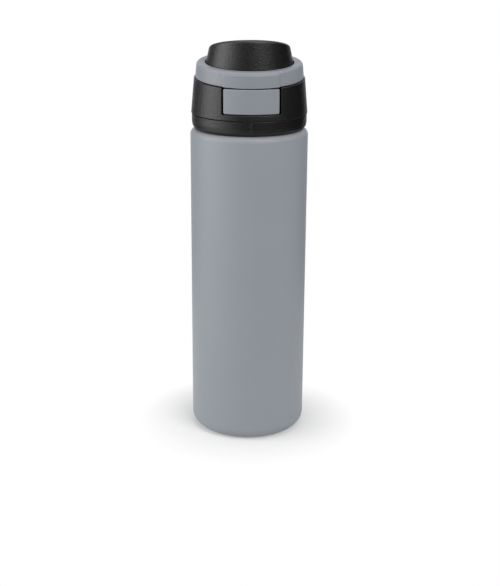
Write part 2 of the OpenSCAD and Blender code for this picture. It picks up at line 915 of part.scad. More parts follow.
module latch_slide() {
    mid_z = (slide_z0 + slide_z1) / 2;
    slot_x = hook_w / 2 + run_gap;
    socket = peg_w / 2 + seal_gap;
    color(black_plastic) difference() {
        intersection() {
            block([-slide_w / 2, -reach, slide_z0], [slide_w / 2, slide_y1, slide_z1]);
            cylinder(r = slide_r, h = reach * 2);
        }
        // Slot for the hook, open at the back under the keeper
        block([-slot_x, slot_y0, slide_z0 - over], [slot_x, keeper_y0, slide_z1 + over]);
        block([-slot_x, slot_y0, slide_z0 - over], [slot_x, reach, slide_z1 - keeper_h]);
        // Sockets for the button's pegs
        both() block(
            [peg_x - socket, -reach, mid_z - peg_h / 2 - seal_gap],
            [peg_x + socket, peg_y, mid_z + peg_h / 2 + seal_gap]
        );
        // Seats for the springs
        both() translate([button_spring_x, seat_y, mid_z]) rotate([-90, 0, 0])
            cylinder(r = seat_r, h = seat_h + over);
    }
}

module button_spring(side) {
    color(spring_steel) translate([side * button_spring_x, 0, (slide_z0 + slide_z1) / 2])
        wire(button_coil, button_wire / 2, [0, 1, 0]);
}

module button_spring_left() {
    button_spring(-1);
}

module button_spring_right() {
    button_spring(1);
}

outer_shell();
inner_flask();
base_disc();
vacuum_seal();
getter();
neck_gasket();
lid_collar();
lid_housing();
spout_deck();
hinge_pin();
hinge_spring();
cover_ring();
cover_dome();
cover_liner();
spout_seal();
button_cap();
latch_slide();
button_spring_left();
button_spring_right();
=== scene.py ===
"""Insulated steel bottle with a screw lid, a push button and a flip cover."""

import bmesh
import bpy
import numpy as np
from mathutils import Matrix, Vector


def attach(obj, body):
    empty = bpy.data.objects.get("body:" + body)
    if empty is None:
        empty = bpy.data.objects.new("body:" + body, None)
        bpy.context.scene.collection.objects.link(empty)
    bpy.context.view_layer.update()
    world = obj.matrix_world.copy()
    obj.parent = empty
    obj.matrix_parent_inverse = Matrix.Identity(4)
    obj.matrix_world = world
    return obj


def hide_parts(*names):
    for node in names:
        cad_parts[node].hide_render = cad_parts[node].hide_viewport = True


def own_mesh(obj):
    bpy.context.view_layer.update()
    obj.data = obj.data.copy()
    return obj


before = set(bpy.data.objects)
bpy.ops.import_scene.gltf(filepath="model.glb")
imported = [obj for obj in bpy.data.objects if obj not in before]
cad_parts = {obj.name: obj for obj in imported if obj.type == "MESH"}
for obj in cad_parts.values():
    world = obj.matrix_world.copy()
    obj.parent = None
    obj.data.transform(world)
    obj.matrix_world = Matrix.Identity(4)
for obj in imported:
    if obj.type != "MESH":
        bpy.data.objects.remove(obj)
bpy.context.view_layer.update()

# Sizes are in millimetres and angles in degrees. The scene is in metres.
MM = 0.001
TURN = 2 * np.pi

# How far off a rounding the extra line of points stands that keeps the flat beside it flat
HAIR = 0.04

# Greatest distances between the points of an outline
WIDE_STEP = 1.2
STEP = 1.0
SHORT_STEP = 0.8
FINE_STEP = 0.5

# Points nearer than the first value are one point, and faces thinner than the second one go
DOUBLES = 0.001
SLIVER = 0.0001

# Edge roundings, from the crispest to the fullest
CRISP = 0.1
FINE = 0.15
EASED = 0.2
SOFT = 0.3
BROAD = 0.4
FULL = 0.5

# Columns of a surface turned round Z
COLUMNS = 192

# Measure along a round wall of the middle of its back
BACK_W = 108.0

# Camera, fitted to the outline of the bottle in the photograph, whose pixels the first two count
FOCAL_PX = 1149.3
FRAME_PX = 586
SENSOR = 36
CAMERA_Y = -709.6
CAMERA_Z = 321.1
CAMERA_PITCH = 18.182
CAMERA_ROLL = 0.368
CAMERA_YAW = 0.093
CAMERA_TURN = 2.3

# Studio, in metres, watts and degrees: each softbox has its name, place, target, width, height
# and power, and each flag the angles from the front between which it stands
SOFTBOXES = [
    ("left softbox", (-0.95, -0.12, 0.42), (0, 0, 0.15), 0.7, 0.8, 6.0),
    ("right softbox", (0.56, -0.8, 0.9), (0, 0, 0.15), 0.8, 0.8, 8.5),
    ("overhead softbox", (0, -0.1, 1.1), (0, 0, 0.2), 0.8, 0.8, 3.0),
]
FLAGS = {"flag in front": (-35, 145), "flag at the left": (-150, -105)}
FLAG_R0 = 0.3
FLAG_R1 = 1.5
FLAG_Z0 = 0.001
FLAG_Z1 = 1.3
FLAG_COLUMNS = 31
FLOOR_HALF = 12.0
# Between these radii the floor's white glow fades towards the base, which paints shade round it on
# top of its real shadow
SHADOW_R0 = 0.036
SHADOW_R1 = 0.072
GLOW_UNDER_SHARE = 0.25
AMBIENT = 0.25

# Bottle
BODY_R = 36.5
BODY_H = 196.4
BASE_ROUND = 7.4
SHOULDER_ROUND = 4.0
STEEL = 0.6
FOOT_R0 = 26.0
DISC_Z = 2.6
CURL_LAP = 0.6
WELD_GAP = 0.05
NECK_R = 28.0
NECK_ROUND = 1.5
RIM_Z = 210.0
BORE_R = 32.4
MOUTH_R = 26.2
FLASK_Z0 = 6.8
FLASK_Z1 = 192.9
FLASK_BASE_ROUND = 9.0
FLASK_TOP_ROUND = 7.0
NECK_FOOT_OUT = 0.8
NECK_FOOT_IN = 1.2
RIM_ROUND = 0.25
COAT_LAP = 1.4
COAT_TOP = BODY_H + COAT_LAP
DIMPLE_R = 6.0
DIMPLE_Z = 2.9
DIMPLE_ROOF_ROUND = 0.35
DIMPLE_LIP_ROUND = 0.45
VENT_R = 0.8
BEAD_R = 2.6
BEAD_H = 0.9
BEAD_GAP = 0.02

# Screw thread: one start, right-handed
THREAD_PITCH = 4.0
THREAD_TURNS = 1.15
THREAD_W = 1.7
THREAD_CREST_W = 0.9
THREAD_SUNK = 0.3
THREAD_RUNOUT = 0.125
THREAD_ROOT_ROUND = 0.05
THREAD_STEPS = 120
THREAD_Z = 200.2
NECK_CREST = 29.3
COLLAR_CREST = 28.5
COLLAR_START_TURN = -0.1

# Lid
GASKET_Z0 = 210.1
GASKET_Z1 = 211.5
GASKET_R0 = 25.75
COLLAR_R = 35.5
COLLAR_GAP = 0.25
COLLAR_Z0 = BODY_H + COLLAR_GAP
COLLAR_Z1 = 205.4
COLLAR_BORE = 29.9
COLLAR_FOOT_IN = 1.8
COLLAR_FOOT_ROUND = 0.12
COLLAR_HIP_IN = 0.4
COLLAR_HIP_H = 1.7
COLLAR_SIDE_H = 4.0
COLLAR_SIDE_ROUND = 6.0
SLEEVE_R = 31.3
SLEEVE_Z = 211.6
SKIRT_R = 33.3
LAND_R = 32.5
HOUSING_R = 35.9
HOUSING_Z = 205.75
HOUSING_LEAN = 0.087
FLANGE_IN = 31.45
PART_Z = 227.6
COVER_TILT = 5.3
TILT_TAN = np.tan(np.radians(COVER_TILT))
SEAM = 0.35
MOULD_LINE_HALF = 0.3
MOULD_LINE_PROUD = 0.18
MOULD_LINE_R = 33.8
WALL = 2.2
WEB = 1.6

# Button, and its window in the housing
BUTTON_HALF = 16.6
BUTTON_Z0 = 209.7
BUTTON_Z1 = 224.1
BUTTON_T = 2.0
BUTTON_GAP = 0.6
BUTTON_EDGE = 0.45
BUTTON_CORNER = 0.8
PEG_X = 8.0
PEG_W = 2.4
PEG_Y = -28.99
PEG_Z = 216.25
PEG_SUNK = 0.4
PEG_EDGE = 0.25
WINDOW_GAP = 1.0
WINDOW_HALF = BUTTON_HALF + WINDOW_GAP
WINDOW_Z = BUTTON_Z0 - BUTTON_GAP
WINDOW_CORNER = 0.6
LIP_OUT = 0.4
LIP_IN = 0.25
LEG_SLOT = 1.07
LEG_SLOT_X0 = 1.5
LEG_SLOT_X1 = 2.6
FAN_W = 12.0
FAN_SHARE = 1.3

# Moulding inside the lid: two of its faces are one flat up to the first angle, and the edge
# between them is eased past the second
DECK_FLAT = 1
DECK_FOLD = 40
DECK_EDGE = 0.25

# Cover, in its own frame on the tilted seam
RING_Z0 = 0.175
RING_H = 9.2
RING_R0 = 33.25
RING_R1 = 32.31
RING_IN = 30.3
RING_TOP_T = 2.0
RING_ROUND = 1.8
RING_FOOT_ROUND = 0.35
HOLE_R = 27.1
PAD_HALF = 16.8
PAD_PROUD = 0.4
PAD_EDGE = 0.2
PAD_INNER_R = 30.8
DOME_R = 26.5
DOME_T = 1.8
DOME_LEAN = 12.2
DOME_SLOPE = 14.0
LEAN_TAN = np.tan(np.radians(DOME_LEAN))
SLOPE_TAN = np.tan(np.radians(DOME_SLOPE + COVER_TILT))
DOME_RISE = 9.74
DOME_CROWN = 0.5
DOME_RIM_ROUND = 2.1
DOME_RIM_SHARE = 0.6
DOME_FOOT_ROUND = 2.0
DOME_STEP = 0.6
DOME_COLUMNS = 160
FLANGE_R = 30.15
FLANGE_T = 1.6
LINER_Z0 = 0.35
LINER_IN = 25.1

# Spout and seal
SPOUT_BORE = 10.4
SPOUT_Y = -6.0
SPOUT_RIM_Z = 241.23
SEAL_R = 13.2
SEAL_T = 1.8
SEAL_GAP = 0.1
SEAL_PLUG = 2.2
PLUG_FIT = 0.3
PLUG_TAPER = 0.5
STEM_R = 3.0
STEM_H = 1.8
BOSS_R = 8.0
BOSS_H = 3.1
BOSS_FIT = 0.15

# Hook under the cover and the springs of the button
HOOK_HALF = 5.0
HOOK_Y0 = -28.59
HOOK_Y1 = -26.99
BARB_Y = -25.99
HOOK_Z = 213.7
BARB_Z = 216.3
BARB_H = 0.6
HOOK_EDGE = 0.25
COIL_X = 11.0
COIL_R = 1.5
COIL_WIRE = 0.5
COIL_Y0 = -27.74
COIL_Y1 = -22.99
COIL_CURLS = 4
COIL_STEPS = 32

# Hinge
HINGE_Y = 37.0
HINGE_Z = 232.08
PIN_R = 1.25
PIN_HALF = 9.05
KNUCKLE_R = 2.8
KNUCKLE_X0 = 2.6
KNUCKLE_X1 = 6.0
KNUCKLE_FIT = 0.05
EAR_R = 3.05
EAR_X0 = 6.4
EAR_X1 = 9.2
EAR_FOOT = 10.0
EAR_SUNK = 0.3
EAR_START = -30
EAR_END = 214
EAR_ROOT_Y = 32.2
EAR_ROOT_Z = 229.2
EAR_ROOT_ROUND = 1.0
EAR_EDGE = 0.35
EAR_FIT = 0.02
ARM_T = 2.4
SPRING_R = 2.0
SPRING_WIRE = 0.6
SPRING_TURNS = 3.5
SPRING_X0 = -2.05
SPRING_X1 = 2.05
SPRING_START = -90.0
SPRING_CUT = 480.0
SPRING_STEPS = 50
SPRING_SEAM = 0.12
COVER_OPEN = 120.0
LID_LEG_Y = 32.2
COVER_LEG_Y = 30.7
HEEL_T = 1.6
HEEL_L = 4.1
ARM_Y = 31.4
BORE_EDGE = 0.15
HINGE = np.array([HINGE_Y, HINGE_Z])


def unit(v):
    """Each vector of the last axis at length 1."""
    return v / np.linalg.norm(v, axis=-1, keepdims=True)


def fillets(before, corner, after, radius, steps=5):
    """Arcs in place of corners, and the outward normals of their points.

    A corner P with unit directions a and b to its neighbours, which meet at the
    angle 2h, becomes an arc of radius r about P + (a + b) / |a + b| * r / sin h,
    from P + a r / tan h to P + b r / tan h. One more point stands a hair off each
    end of the arc, so that the flats beside it shade flat.
    """
    r = np.broadcast_to(np.asarray(radius, float), corner.shape[:-1])[..., None]
    a = unit(before - corner)
    b = unit(after - corner)
    half = np.arccos(np.clip((a * b).sum(-1, keepdims=True), -1, 1)) / 2
    cut = r / np.tan(half)
    centre = corner + unit(a + b) * r / np.sin(half)
    start = (corner + a * cut - centre) / r
    end = (corner + b * cut - centre) / r
    sweep = (np.pi - 2 * half)[..., None]
    t = np.linspace(0, 1, steps + 1)[:, None]
    way = (
        np.sin((1 - t) * sweep) * start[..., None, :]
        + np.sin(t * sweep) * end[..., None, :]
    ) / np.sin(sweep)
    points = np.concatenate(
        [
            (corner + a * (cut + HAIR))[..., None, :],
            centre[..., None, :] + r[..., None, :] * way,
            (corner + b * (cut + HAIR))[..., None, :],
        ],
        axis=-2,
    )
    turn = a[..., 1] * b[..., 0] - a[..., 0] * b[..., 1]
    way = np.concatenate([way[..., :1, :], way, way[..., -1:, :]], axis=-2)
    normals = way * np.sign(turn)[..., None, None]
    flat = points.shape[:-3] + (-1, points.shape[-1])
    return points.reshape(flat), normals.reshape(flat)


def rounded(corners, radii, steps=5):
    """Closed outline with rounded corners, and its normals. The corners run anticlockwise."""
    p = np.asarray(corners, float)
    return fillets(np.roll(p, 1, -2), p, np.roll(p, -1, -2), radii, steps)


def rounded_path(corners, radii, steps=5):
    """Open outline with its inner corners rounded, and its normals, with solid on its left."""
    p = np.asarray(corners, float)
    points, normals = fillets(p[..., :-2, :], p[..., 1:-1, :], p[..., 2:, :], radii, steps)
    points = np.concatenate([p[..., :1, :], points, p[..., -1:, :]], axis=-2)
    normals = np.concatenate([normals[..., :1, :], normals, normals[..., -1:, :]], axis=-2)
    return points, normals


def densify(points, normals, step):
    """The same outline with more points, so that no two are further apart than step."""
    s = np.concatenate([[0], np.cumsum(np.linalg.norm(np.diff(points, axis=0), axis=1))])
    t = np.union1d(s, np.arange(0, s[-1], step))
    t = t[np.concatenate([[True], np.diff(t) > DOUBLES])]
    along = np.stack([np.interp(t, s, c) for c in points.T], -1)
    out = np.stack([np.interp(t, s, c) for c in normals.T], -1)
    return along, unit(out)


def round_z(a, r, z):
    """Points at the angle a from the front, the radius r and the height z:
    (r sin a, -r cos a, z)."""
    return np.stack(np.broadcast_arrays(r * np.sin(a), -r * np.cos(a), z), -1)


def lathe(profile, columns=COLUMNS):
    """Surface of revolution: each point (r, z) of the profile goes round Z, from the front."""
    a = np.linspace(0, TURN, columns, endpoint=False)
    r, z = profile.T[..., None]
    return round_z(a, r, z)


def turned(corners, radii, steps=5, columns=COLUMNS):
    """Closed ring turned from an outline with rounded corners."""
    return lathe(rounded(corners, radii, steps)[0], columns)


def turned_solid(corners, radii, steps=5, columns=COLUMNS):
    """Solid of revolution, from an outline whose two ends lie on the axis."""
    return lathe(rounded_path(corners, radii, steps)[0], columns)


def bearing(w, r, half):
    """Angle from the front at radius r. Up to the half width, w is the place across X, so that
    an edge there runs straight up. Past it, w shares out the rest, and is BACK_W at the back."""
    edge = np.arcsin(half / r)
    inside = np.arcsin(np.clip(w, -half, half) / r)
    share = np.clip((np.abs(w) - half) / (BACK_W - half), 0, 1)
    return inside + np.sign(w) * share * (np.pi - edge)


def places_along(extra):
    """Places of a round wall's columns: evenly from back to back, and the extra ones on both
    sides of the front."""
    even = np.linspace(-BACK_W, BACK_W, COLUMNS + 1)[1:]
    return np.union1d(even, np.concatenate([-extra, extra]))


def wrapped(w, r, z, half):
    """Points of a round wall at the places w along it, each at its bearing."""
    return round_z(bearing(w, r, half), r, z)


def eased_ends(x0, x1, edge, steps=4):
    """Places across a plate and how far its outline is drawn in there: x moves on by
    edge * (1 - cos f) while the outline comes out by edge * sin f, for f from 0 to 90."""
    f = np.linspace(0, np.pi / 2, steps + 1)
    on = edge * (1 - np.cos(f))
    inset = edge * (1 - np.sin(f))
    on = np.concatenate([[0], on, [edge + HAIR]])
    inset = np.concatenate([[edge + HAIR], inset, [0]])
    return np.concatenate([x0 + on, (x1 - on)[::-1]]), np.concatenate([inset, inset[::-1]])


def plate(outline, normals, x0, x1, edge):
    """Plate across X with eased edges, which closes on the middle of each face. Each of its
    rings is the outline, drawn in along its normals."""
    x, inset = eased_ends(x0, x1, edge)
    ring = outline - normals * inset[:, None, None]
    middle = np.broadcast_to(outline.mean(0), (1,) + outline.shape)
    ring = np.concatenate([middle, ring, middle])
    x = np.concatenate([[x0], x, [x1]])[:, None, None]
    return np.concatenate([np.broadcast_to(x, ring.shape[:2] + (1,)), ring], -1)


def drilled_plate(outline, normals, x0, x1, edge, centre, bore):
    """Plate across X with eased edges and a round hole, eased as well, of that bore about the
    centre. Each point of the hole lies on the spoke to a point of the outline."""
    x, inset = eased_ends(x0, x1, edge)
    ring = outline - normals * inset[:, None, None]
    spoke = unit(outline - centre)
    bore_x, bore_out = eased_ends(x1, x0, -BORE_EDGE)
    hole = centre + spoke * (bore - bore_out)[:, None, None]
    ring = np.concatenate([ring, hole])
    x = np.concatenate([x, bore_x])[:, None, None]
    return np.concatenate([np.broadcast_to(x, ring.shape[:2] + (1,)), ring], -1)


def hinge_arc(radius, start, end, steps=24):
    """Arc about the hinge from one angle to another, counted from the back upwards, and its
    normals."""
    a = np.radians(np.linspace(start, end, steps + 1))
    out = np.stack([np.cos(a), np.sin(a)], -1)
    return HINGE + radius * out, out


def joined(*parts):
    """One outline from several stretches of points and normals."""
    return tuple(np.concatenate(column) for column in zip(*parts))


def rod(radius, x0, x1, edge, columns=48):
    """Round rod across X about the hinge, with eased ends."""
    outline, normals = hinge_arc(radius, 0, 360, columns)
    return plate(outline[:-1], normals[:-1], x0, x1, edge)


def tube(path, radius, axis, sides=12):
    """Round wire: a circle of that radius carried square to the path, closed to a point at each
    end. axis is a direction that the path never takes."""
    t = unit(np.gradient(path, axis=0))
    n = unit(np.cross(axis, t))
    b = np.cross(t, n)
    k = np.linspace(0, TURN, sides, endpoint=False)[None, :, None]
    ring = path[:, None] + radius * (np.cos(k) * n[:, None] + np.sin(k) * b[:, None])
    ends = [np.broadcast_to(path[i], (1, sides, 3)) for i in (0, -1)]
    return np.concatenate([ends[0], ring, ends[1]])


def block(low, high, edge):
    """Block with eased edges between two corners."""
    (x0, y0, z0), (x1, y1, z1) = low, high
    outline, normals = rounded([(y0, z0), (y1, z0), (y1, z1), (y0, z1)], edge, steps=3)
    return plate(outline, normals, x0, x1, edge)


def in_cover(points):
    """Points of the cover's own frame, in the bottle's frame: turned by COVER_TILT about X
    and raised by PART_Z."""
    c, s = np.cos(np.radians(COVER_TILT)), np.sin(np.radians(COVER_TILT))
    x, y, z = np.moveaxis(points, -1, 0)
    return np.stack([x, y * c - z * s, PART_Z + y * s + z * c], -1)


def on_rim(points):
    """Points of the frame of the spout's slanted rim, in the bottle's frame: turned back by
    DOME_SLOPE about X and moved to the rim's middle."""
    c, s = np.cos(np.radians(DOME_SLOPE)), np.sin(np.radians(DOME_SLOPE))
    x, y, z = np.moveaxis(points, -1, 0)
    return np.stack([x, SPOUT_Y + y * c + z * s, SPOUT_RIM_Z - y * s + z * c], -1)


def linked(name, data):
    """New object of that mesh, lamp or camera, in the scene."""
    obj = bpy.data.objects.new(name, data)
    bpy.context.scene.collection.objects.link(obj)
    return obj


def piece(name, sheets, finish, body, nodes):
    """Closed surface from grids of points, riding on a body and standing for its nodes.

    The columns of each grid close on themselves. So do its rows, unless the first and last
    row are each a single point, which becomes a pole when the doubles are merged.
    """
    points, faces, first = [], [], 0
    for sheet in sheets:
        rows, cols = sheet.shape[:2]
        capped = np.ptp(sheet[0], axis=0).max() < DOUBLES
        i = np.arange(rows - 1 if capped else rows)[:, None]
        j = np.arange(cols)[None]
        k, m = (i + 1) % rows, (j + 1) % cols
        quad = np.stack([i * cols + j, k * cols + j, k * cols + m, i * cols + m], -1)
        faces.append(quad.reshape(-1, 4) + first)
        points.append(sheet.reshape(-1, 3) * MM)
        first += rows * cols
    mesh = bpy.data.meshes.new(name)
    mesh.from_pydata(np.concatenate(points), [], np.concatenate(faces).tolist())
    return finished(name, mesh, finish, body, nodes)


def finished(name, mesh, finish, body, nodes):
    """Mesh with its doubles merged and its faces turned outwards, as a piece of the bottle."""
    bm = bmesh.new()
    bm.from_mesh(mesh)
    bmesh.ops.remove_doubles(bm, verts=bm.verts, dist=DOUBLES * MM)
    bmesh.ops.dissolve_degenerate(bm, dist=SLIVER * MM, edges=bm.edges)
    bmesh.ops.recalc_face_normals(bm, faces=bm.faces)
    bm.to_mesh(mesh)
    bm.free()
    mesh.shade_smooth()
    mesh.materials.append(finish)
    obj = linked(name, mesh)
    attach(obj, body)
    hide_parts(*nodes)
    return obj


# Materials


def linear(text):
    """Linear colour of an sRGB hex value v: v / 12.92 up to 0.04045, and past it
    ((v + 0.055) / 1.055) ^ 2.4."""
    value = np.array([int(text[i:i + 2], 16) for i in (1, 3, 5)]) / 255
    low, high = value / 12.92, ((value + 0.055) / 1.055) ** 2.4
    return (*np.where(value <= 0.04045, low, high), 1.0)


def add(tree, kind, inputs=None, **settings):
    """Node of that kind with its settings. An input takes a value or another node's output."""
    node = tree.nodes.new(kind)
    for key, value in settings.items():
        setattr(node, key, value)
    for key, value in (inputs or {}).items():
        if isinstance(value, bpy.types.NodeSocket):
            tree.links.new(value, node.inputs[key])
        else:
            node.inputs[key].default_value = value
    return node


def cleared_tree(owner):
    """Node tree of a material or of the world, with nothing in it."""
    owner.use_nodes = True
    owner.node_tree.nodes.clear()
    return owner.node_tree


def surface(name, uniform):
    """New material: its tree, its Principled shader with uniform values, and object coordinates."""
    material = bpy.data.materials.new(name)
    tree = cleared_tree(material)
    shader = add(tree, "ShaderNodeBsdfPrincipled", uniform)
    add(tree, "ShaderNodeOutputMaterial", {"Surface": shader.outputs[0]})
    place = add(tree, "ShaderNodeTexCoord").outputs["Object"]
    return material, tree, shader, place


def grain(tree, place, size, detail=2.0, stretch=(1, 1, 1)):
    """Noise whose features are about size millimetres across, and longer along an axis whose
    stretch is under 1."""
    scaled = add(
        tree, "ShaderNodeMapping", {"Vector": place, "Scale": stretch}, vector_type="POINT"
    )
    return add(
        tree,
        "ShaderNodeTexNoise",
        {"Vector": scaled.outputs[0], "Scale": 1 / (size * MM), "Detail": detail},
    ).outputs["Fac"]


def vary_roughness(tree, shader, share, low, high):
    """Roughness that wanders between two values."""
    value = add(tree, "ShaderNodeMapRange", {"Value": share, "To Min": low, "To Max": high})
    tree.links.new(value.outputs[0], shader.inputs["Roughness"])


def relief(tree, shader, height, depth):
    """Bump of that depth in millimetres."""
    bump = add(
        tree, "ShaderNodeBump", {"Height": height, "Strength": 1.0, "Distance": depth * MM}
    )
    tree.links.new(bump.outputs[0], shader.inputs["Normal"])


def blend_colour(tree, shader, share, first, second):
    """Base colour that wanders between two close colours."""
    mix = add(
        tree,
        "ShaderNodeMix",
        {"Factor": share, "A": linear(first), "B": linear(second)},
        data_type="RGBA",
    )
    tree.links.new(mix.outputs["Result"], shader.inputs["Base Color"])


def powder_coat():
    """Polyester powder coat, sprayed and baked on steel: satin, with a faint orange peel
    about 1 mm across and a cloudiness of the coat's thickness over some 40 mm."""
    material, tree, shader, place = surface("powder coat, baked polyester", {
        "Specular IOR Level": 0.4,
    })
    cloud = grain(tree, place, size=40)
    peel = grain(tree, place, size=1.1)
    blend_colour(tree, shader, cloud, "#8F949A", "#93989E")
    vary_roughness(tree, shader, peel, low=0.44, high=0.52)
    relief(tree, shader, peel, depth=0.012)
    return material


def grey_polypropylene():
    """Polypropylene coloured to match the coat, moulded in an eroded texture. The texture is
    0.3 mm on the real part and 0.6 mm here, so that it shows, and the colour is cloudy over
    some 25 mm."""
    material, tree, shader, place = surface("moulded polypropylene, grey", {
        "Specular IOR Level": 0.4,
    })
    texture = grain(tree, place, size=0.6)
    cloud = grain(tree, place, size=25)
    blend_colour(tree, shader, cloud, "#868B91", "#898E94")
    vary_roughness(tree, shader, texture, low=0.42, high=0.52)
    relief(tree, shader, texture, depth=0.01)
    return material


def black_polypropylene():
    """Black polypropylene moulded in an eroded texture. The texture is 0.3 mm on the real
    part and 1 mm here, so that it shows as the fine speckle of the highlights."""
    material, tree, shader, place = surface("moulded polypropylene, black", {
        "Specular IOR Level": 0.5,
    })
    texture = grain(tree, place, size=1.0, detail=3)
    blend_colour(tree, shader, texture, "#030304", "#1B1B1C")
    vary_roughness(tree, shader, texture, low=0.34, high=0.54)
    relief(tree, shader, texture, depth=0.17)
    return material


def silicone():
    """Platinum-cured silicone: soft, dull and a little see-through at its edges, with a bloom
    in patches of 3 mm and the fine skin of its mould, 0.8 mm here so that it shows."""
    material, tree, shader, place = surface("silicone, cured", {
        "Specular IOR Level": 0.3,
        "Subsurface Weight": 0.15,
        "Subsurface Scale": 0.002,
    })
    bloom = grain(tree, place, size=3)
    blend_colour(tree, shader, bloom, "#8A8D8F", "#94979A")
    vary_roughness(tree, shader, bloom, low=0.5, high=0.62)
    relief(tree, shader, grain(tree, place, size=0.8), depth=0.01)
    return material


def satin_steel():
    """Stainless steel 18/8, spun and polished to a satin: fine lines run round it, 0.4 mm
    apart here so that they show."""
    material, tree, shader, place = surface("stainless steel, spun satin", {
        "Metallic": 1.0,
    })
    lines = grain(tree, place, size=0.4, stretch=(0.02, 0.02, 1))
    blend_colour(tree, shader, lines, "#C3C2BF", "#CFCECB")
    vary_roughness(tree, shader, lines, low=0.24, high=0.38)
    relief(tree, shader, lines, depth=0.006)
    return material


def drawn_wire():
    """Spring steel, drawn through a die: bright, with faint marks, 0.5 mm here so that they
    show."""
    material, tree, shader, place = surface("spring steel, drawn wire", {
        "Metallic": 1.0,
    })
    marks = grain(tree, place, size=0.5)
    blend_colour(tree, shader, marks, "#B5B4B1", "#C6C5C2")
    vary_roughness(tree, shader, marks, low=0.18, high=0.32)
    relief(tree, shader, marks, depth=0.004)
    return material


def sealing_glass():
    """Bead of solder glass, melted over the vent: glossy, greenish grey, with ripples about
    1.5 mm across."""
    material, tree, shader, place = surface("solder glass, fused", {
        "Roughness": 0.12,
        "Coat Weight": 0.3,
    })
    ripple = grain(tree, place, size=1.5)
    blend_colour(tree, shader, ripple, "#6E7C74", "#7D8A82")
    relief(tree, shader, ripple, depth=0.03)
    return material


coat = powder_coat()
grey_plastic = grey_polypropylene()
black_plastic = black_polypropylene()
seal_rubber = silicone()
steel = satin_steel()
wire = drawn_wire()
glass = sealing_glass()


# Stage


def make_camera():
    """Camera at the photograph's place, turned a little round the bottle to its left. It looks
    down at the bottle, with a trace of yaw and roll, and its long side takes in FRAME_PX
    pixels at FOCAL_PX pixels of focal length."""
    pitch, yaw, roll, turn = np.radians([CAMERA_PITCH, CAMERA_YAW, CAMERA_ROLL, CAMERA_TURN])
    yaw = yaw + turn
    ahead = Vector((np.sin(yaw) * np.cos(pitch), np.cos(yaw) * np.cos(pitch), -np.sin(pitch)))
    right = Vector((np.cos(yaw), -np.sin(yaw), 0))
    up = right.cross(ahead)
    right, up = right * np.cos(roll) + up * np.sin(roll), up * np.cos(roll) - right * np.sin(roll)
    lens = bpy.data.cameras.new("camera")
    lens.sensor_width = SENSOR
    lens.lens = FOCAL_PX * SENSOR / FRAME_PX
    camera = linked("camera", lens)
    place = Vector((CAMERA_Y * np.sin(turn), CAMERA_Y * np.cos(turn), CAMERA_Z)) * MM
    aim = Matrix((right, up, -ahead)).transposed().to_4x4()
    camera.matrix_world = Matrix.Translation(place) @ aim
    bpy.context.scene.camera = camera


def make_lamp(name, place, target, width, height, power):
    """Softbox: an area lamp at a place, turned to a target, with its size in metres."""
    light = bpy.data.lights.new(name, "AREA")
    light.shape = "RECTANGLE"
    light.size, light.size_y = width, height
    light.energy = power
    lamp = linked(name, light)
    aim = Vector(target) - Vector(place)
    turn = aim.to_track_quat("-Z", "Y").to_matrix().to_4x4()
    lamp.matrix_world = Matrix.Translation(place) @ turn


def seen_directly(tree):
    """1 for rays of the camera, and for those that a glossy or clear surface sends on."""
    path = add(tree, "ShaderNodeLightPath")
    shiny = add(tree, "ShaderNodeMath", {
        0: path.outputs["Is Glossy Ray"], 1: path.outputs["Is Transmission Ray"],
    }, operation="MAXIMUM")
    return add(tree, "ShaderNodeMath", {
        0: shiny.outputs[0], 1: path.outputs["Is Camera Ray"],
    }, operation="MAXIMUM").outputs[0]


def make_floor():
    """Pale floor that takes the bottle's shadow. The camera sees it glow white from SHADOW_R1
    on, and towards SHADOW_R0 the glow's share falls to GLOW_UNDER_SHARE. That fall paints a grey
    halo of shade round the base, lit or not, on top of the real shadow."""
    material = bpy.data.materials.new("matt white board")
    tree = cleared_tree(material)
    matt = add(tree, "ShaderNodeBsdfDiffuse", {"Color": linear("#F0F0F0")})
    glow = add(tree, "ShaderNodeEmission", {"Color": (1, 1, 1, 1), "Strength": 1.0})
    place = add(tree, "ShaderNodeTexCoord").outputs["Object"]
    away = add(tree, "ShaderNodeVectorMath", {0: place}, operation="LENGTH").outputs["Value"]
    # The glow's share falls near the base, which paints shade round it
    glow_share_painting_shade = add(tree, "ShaderNodeMapRange", {
        "Value": away, "From Min": SHADOW_R0, "From Max": SHADOW_R1,
        "To Min": GLOW_UNDER_SHARE, "To Max": 1.0,
    })
    share = add(tree, "ShaderNodeMath", {
        0: seen_directly(tree), 1: glow_share_painting_shade.outputs[0],
    }, operation="MULTIPLY")
    both = add(tree, "ShaderNodeMixShader", {
        0: share.outputs[0], 1: matt.outputs[0], 2: glow.outputs[0],
    })
    add(tree, "ShaderNodeOutputMaterial", {"Surface": both.outputs[0]})
    corners = FLOOR_HALF * np.array([[-1, -1, 0], [1, -1, 0], [1, 1, 0], [-1, 1, 0]])
    mesh = bpy.data.meshes.new("floor")
    mesh.from_pydata(corners, [], [(0, 1, 2, 3)])
    mesh.materials.append(material)
    linked("floor", mesh)


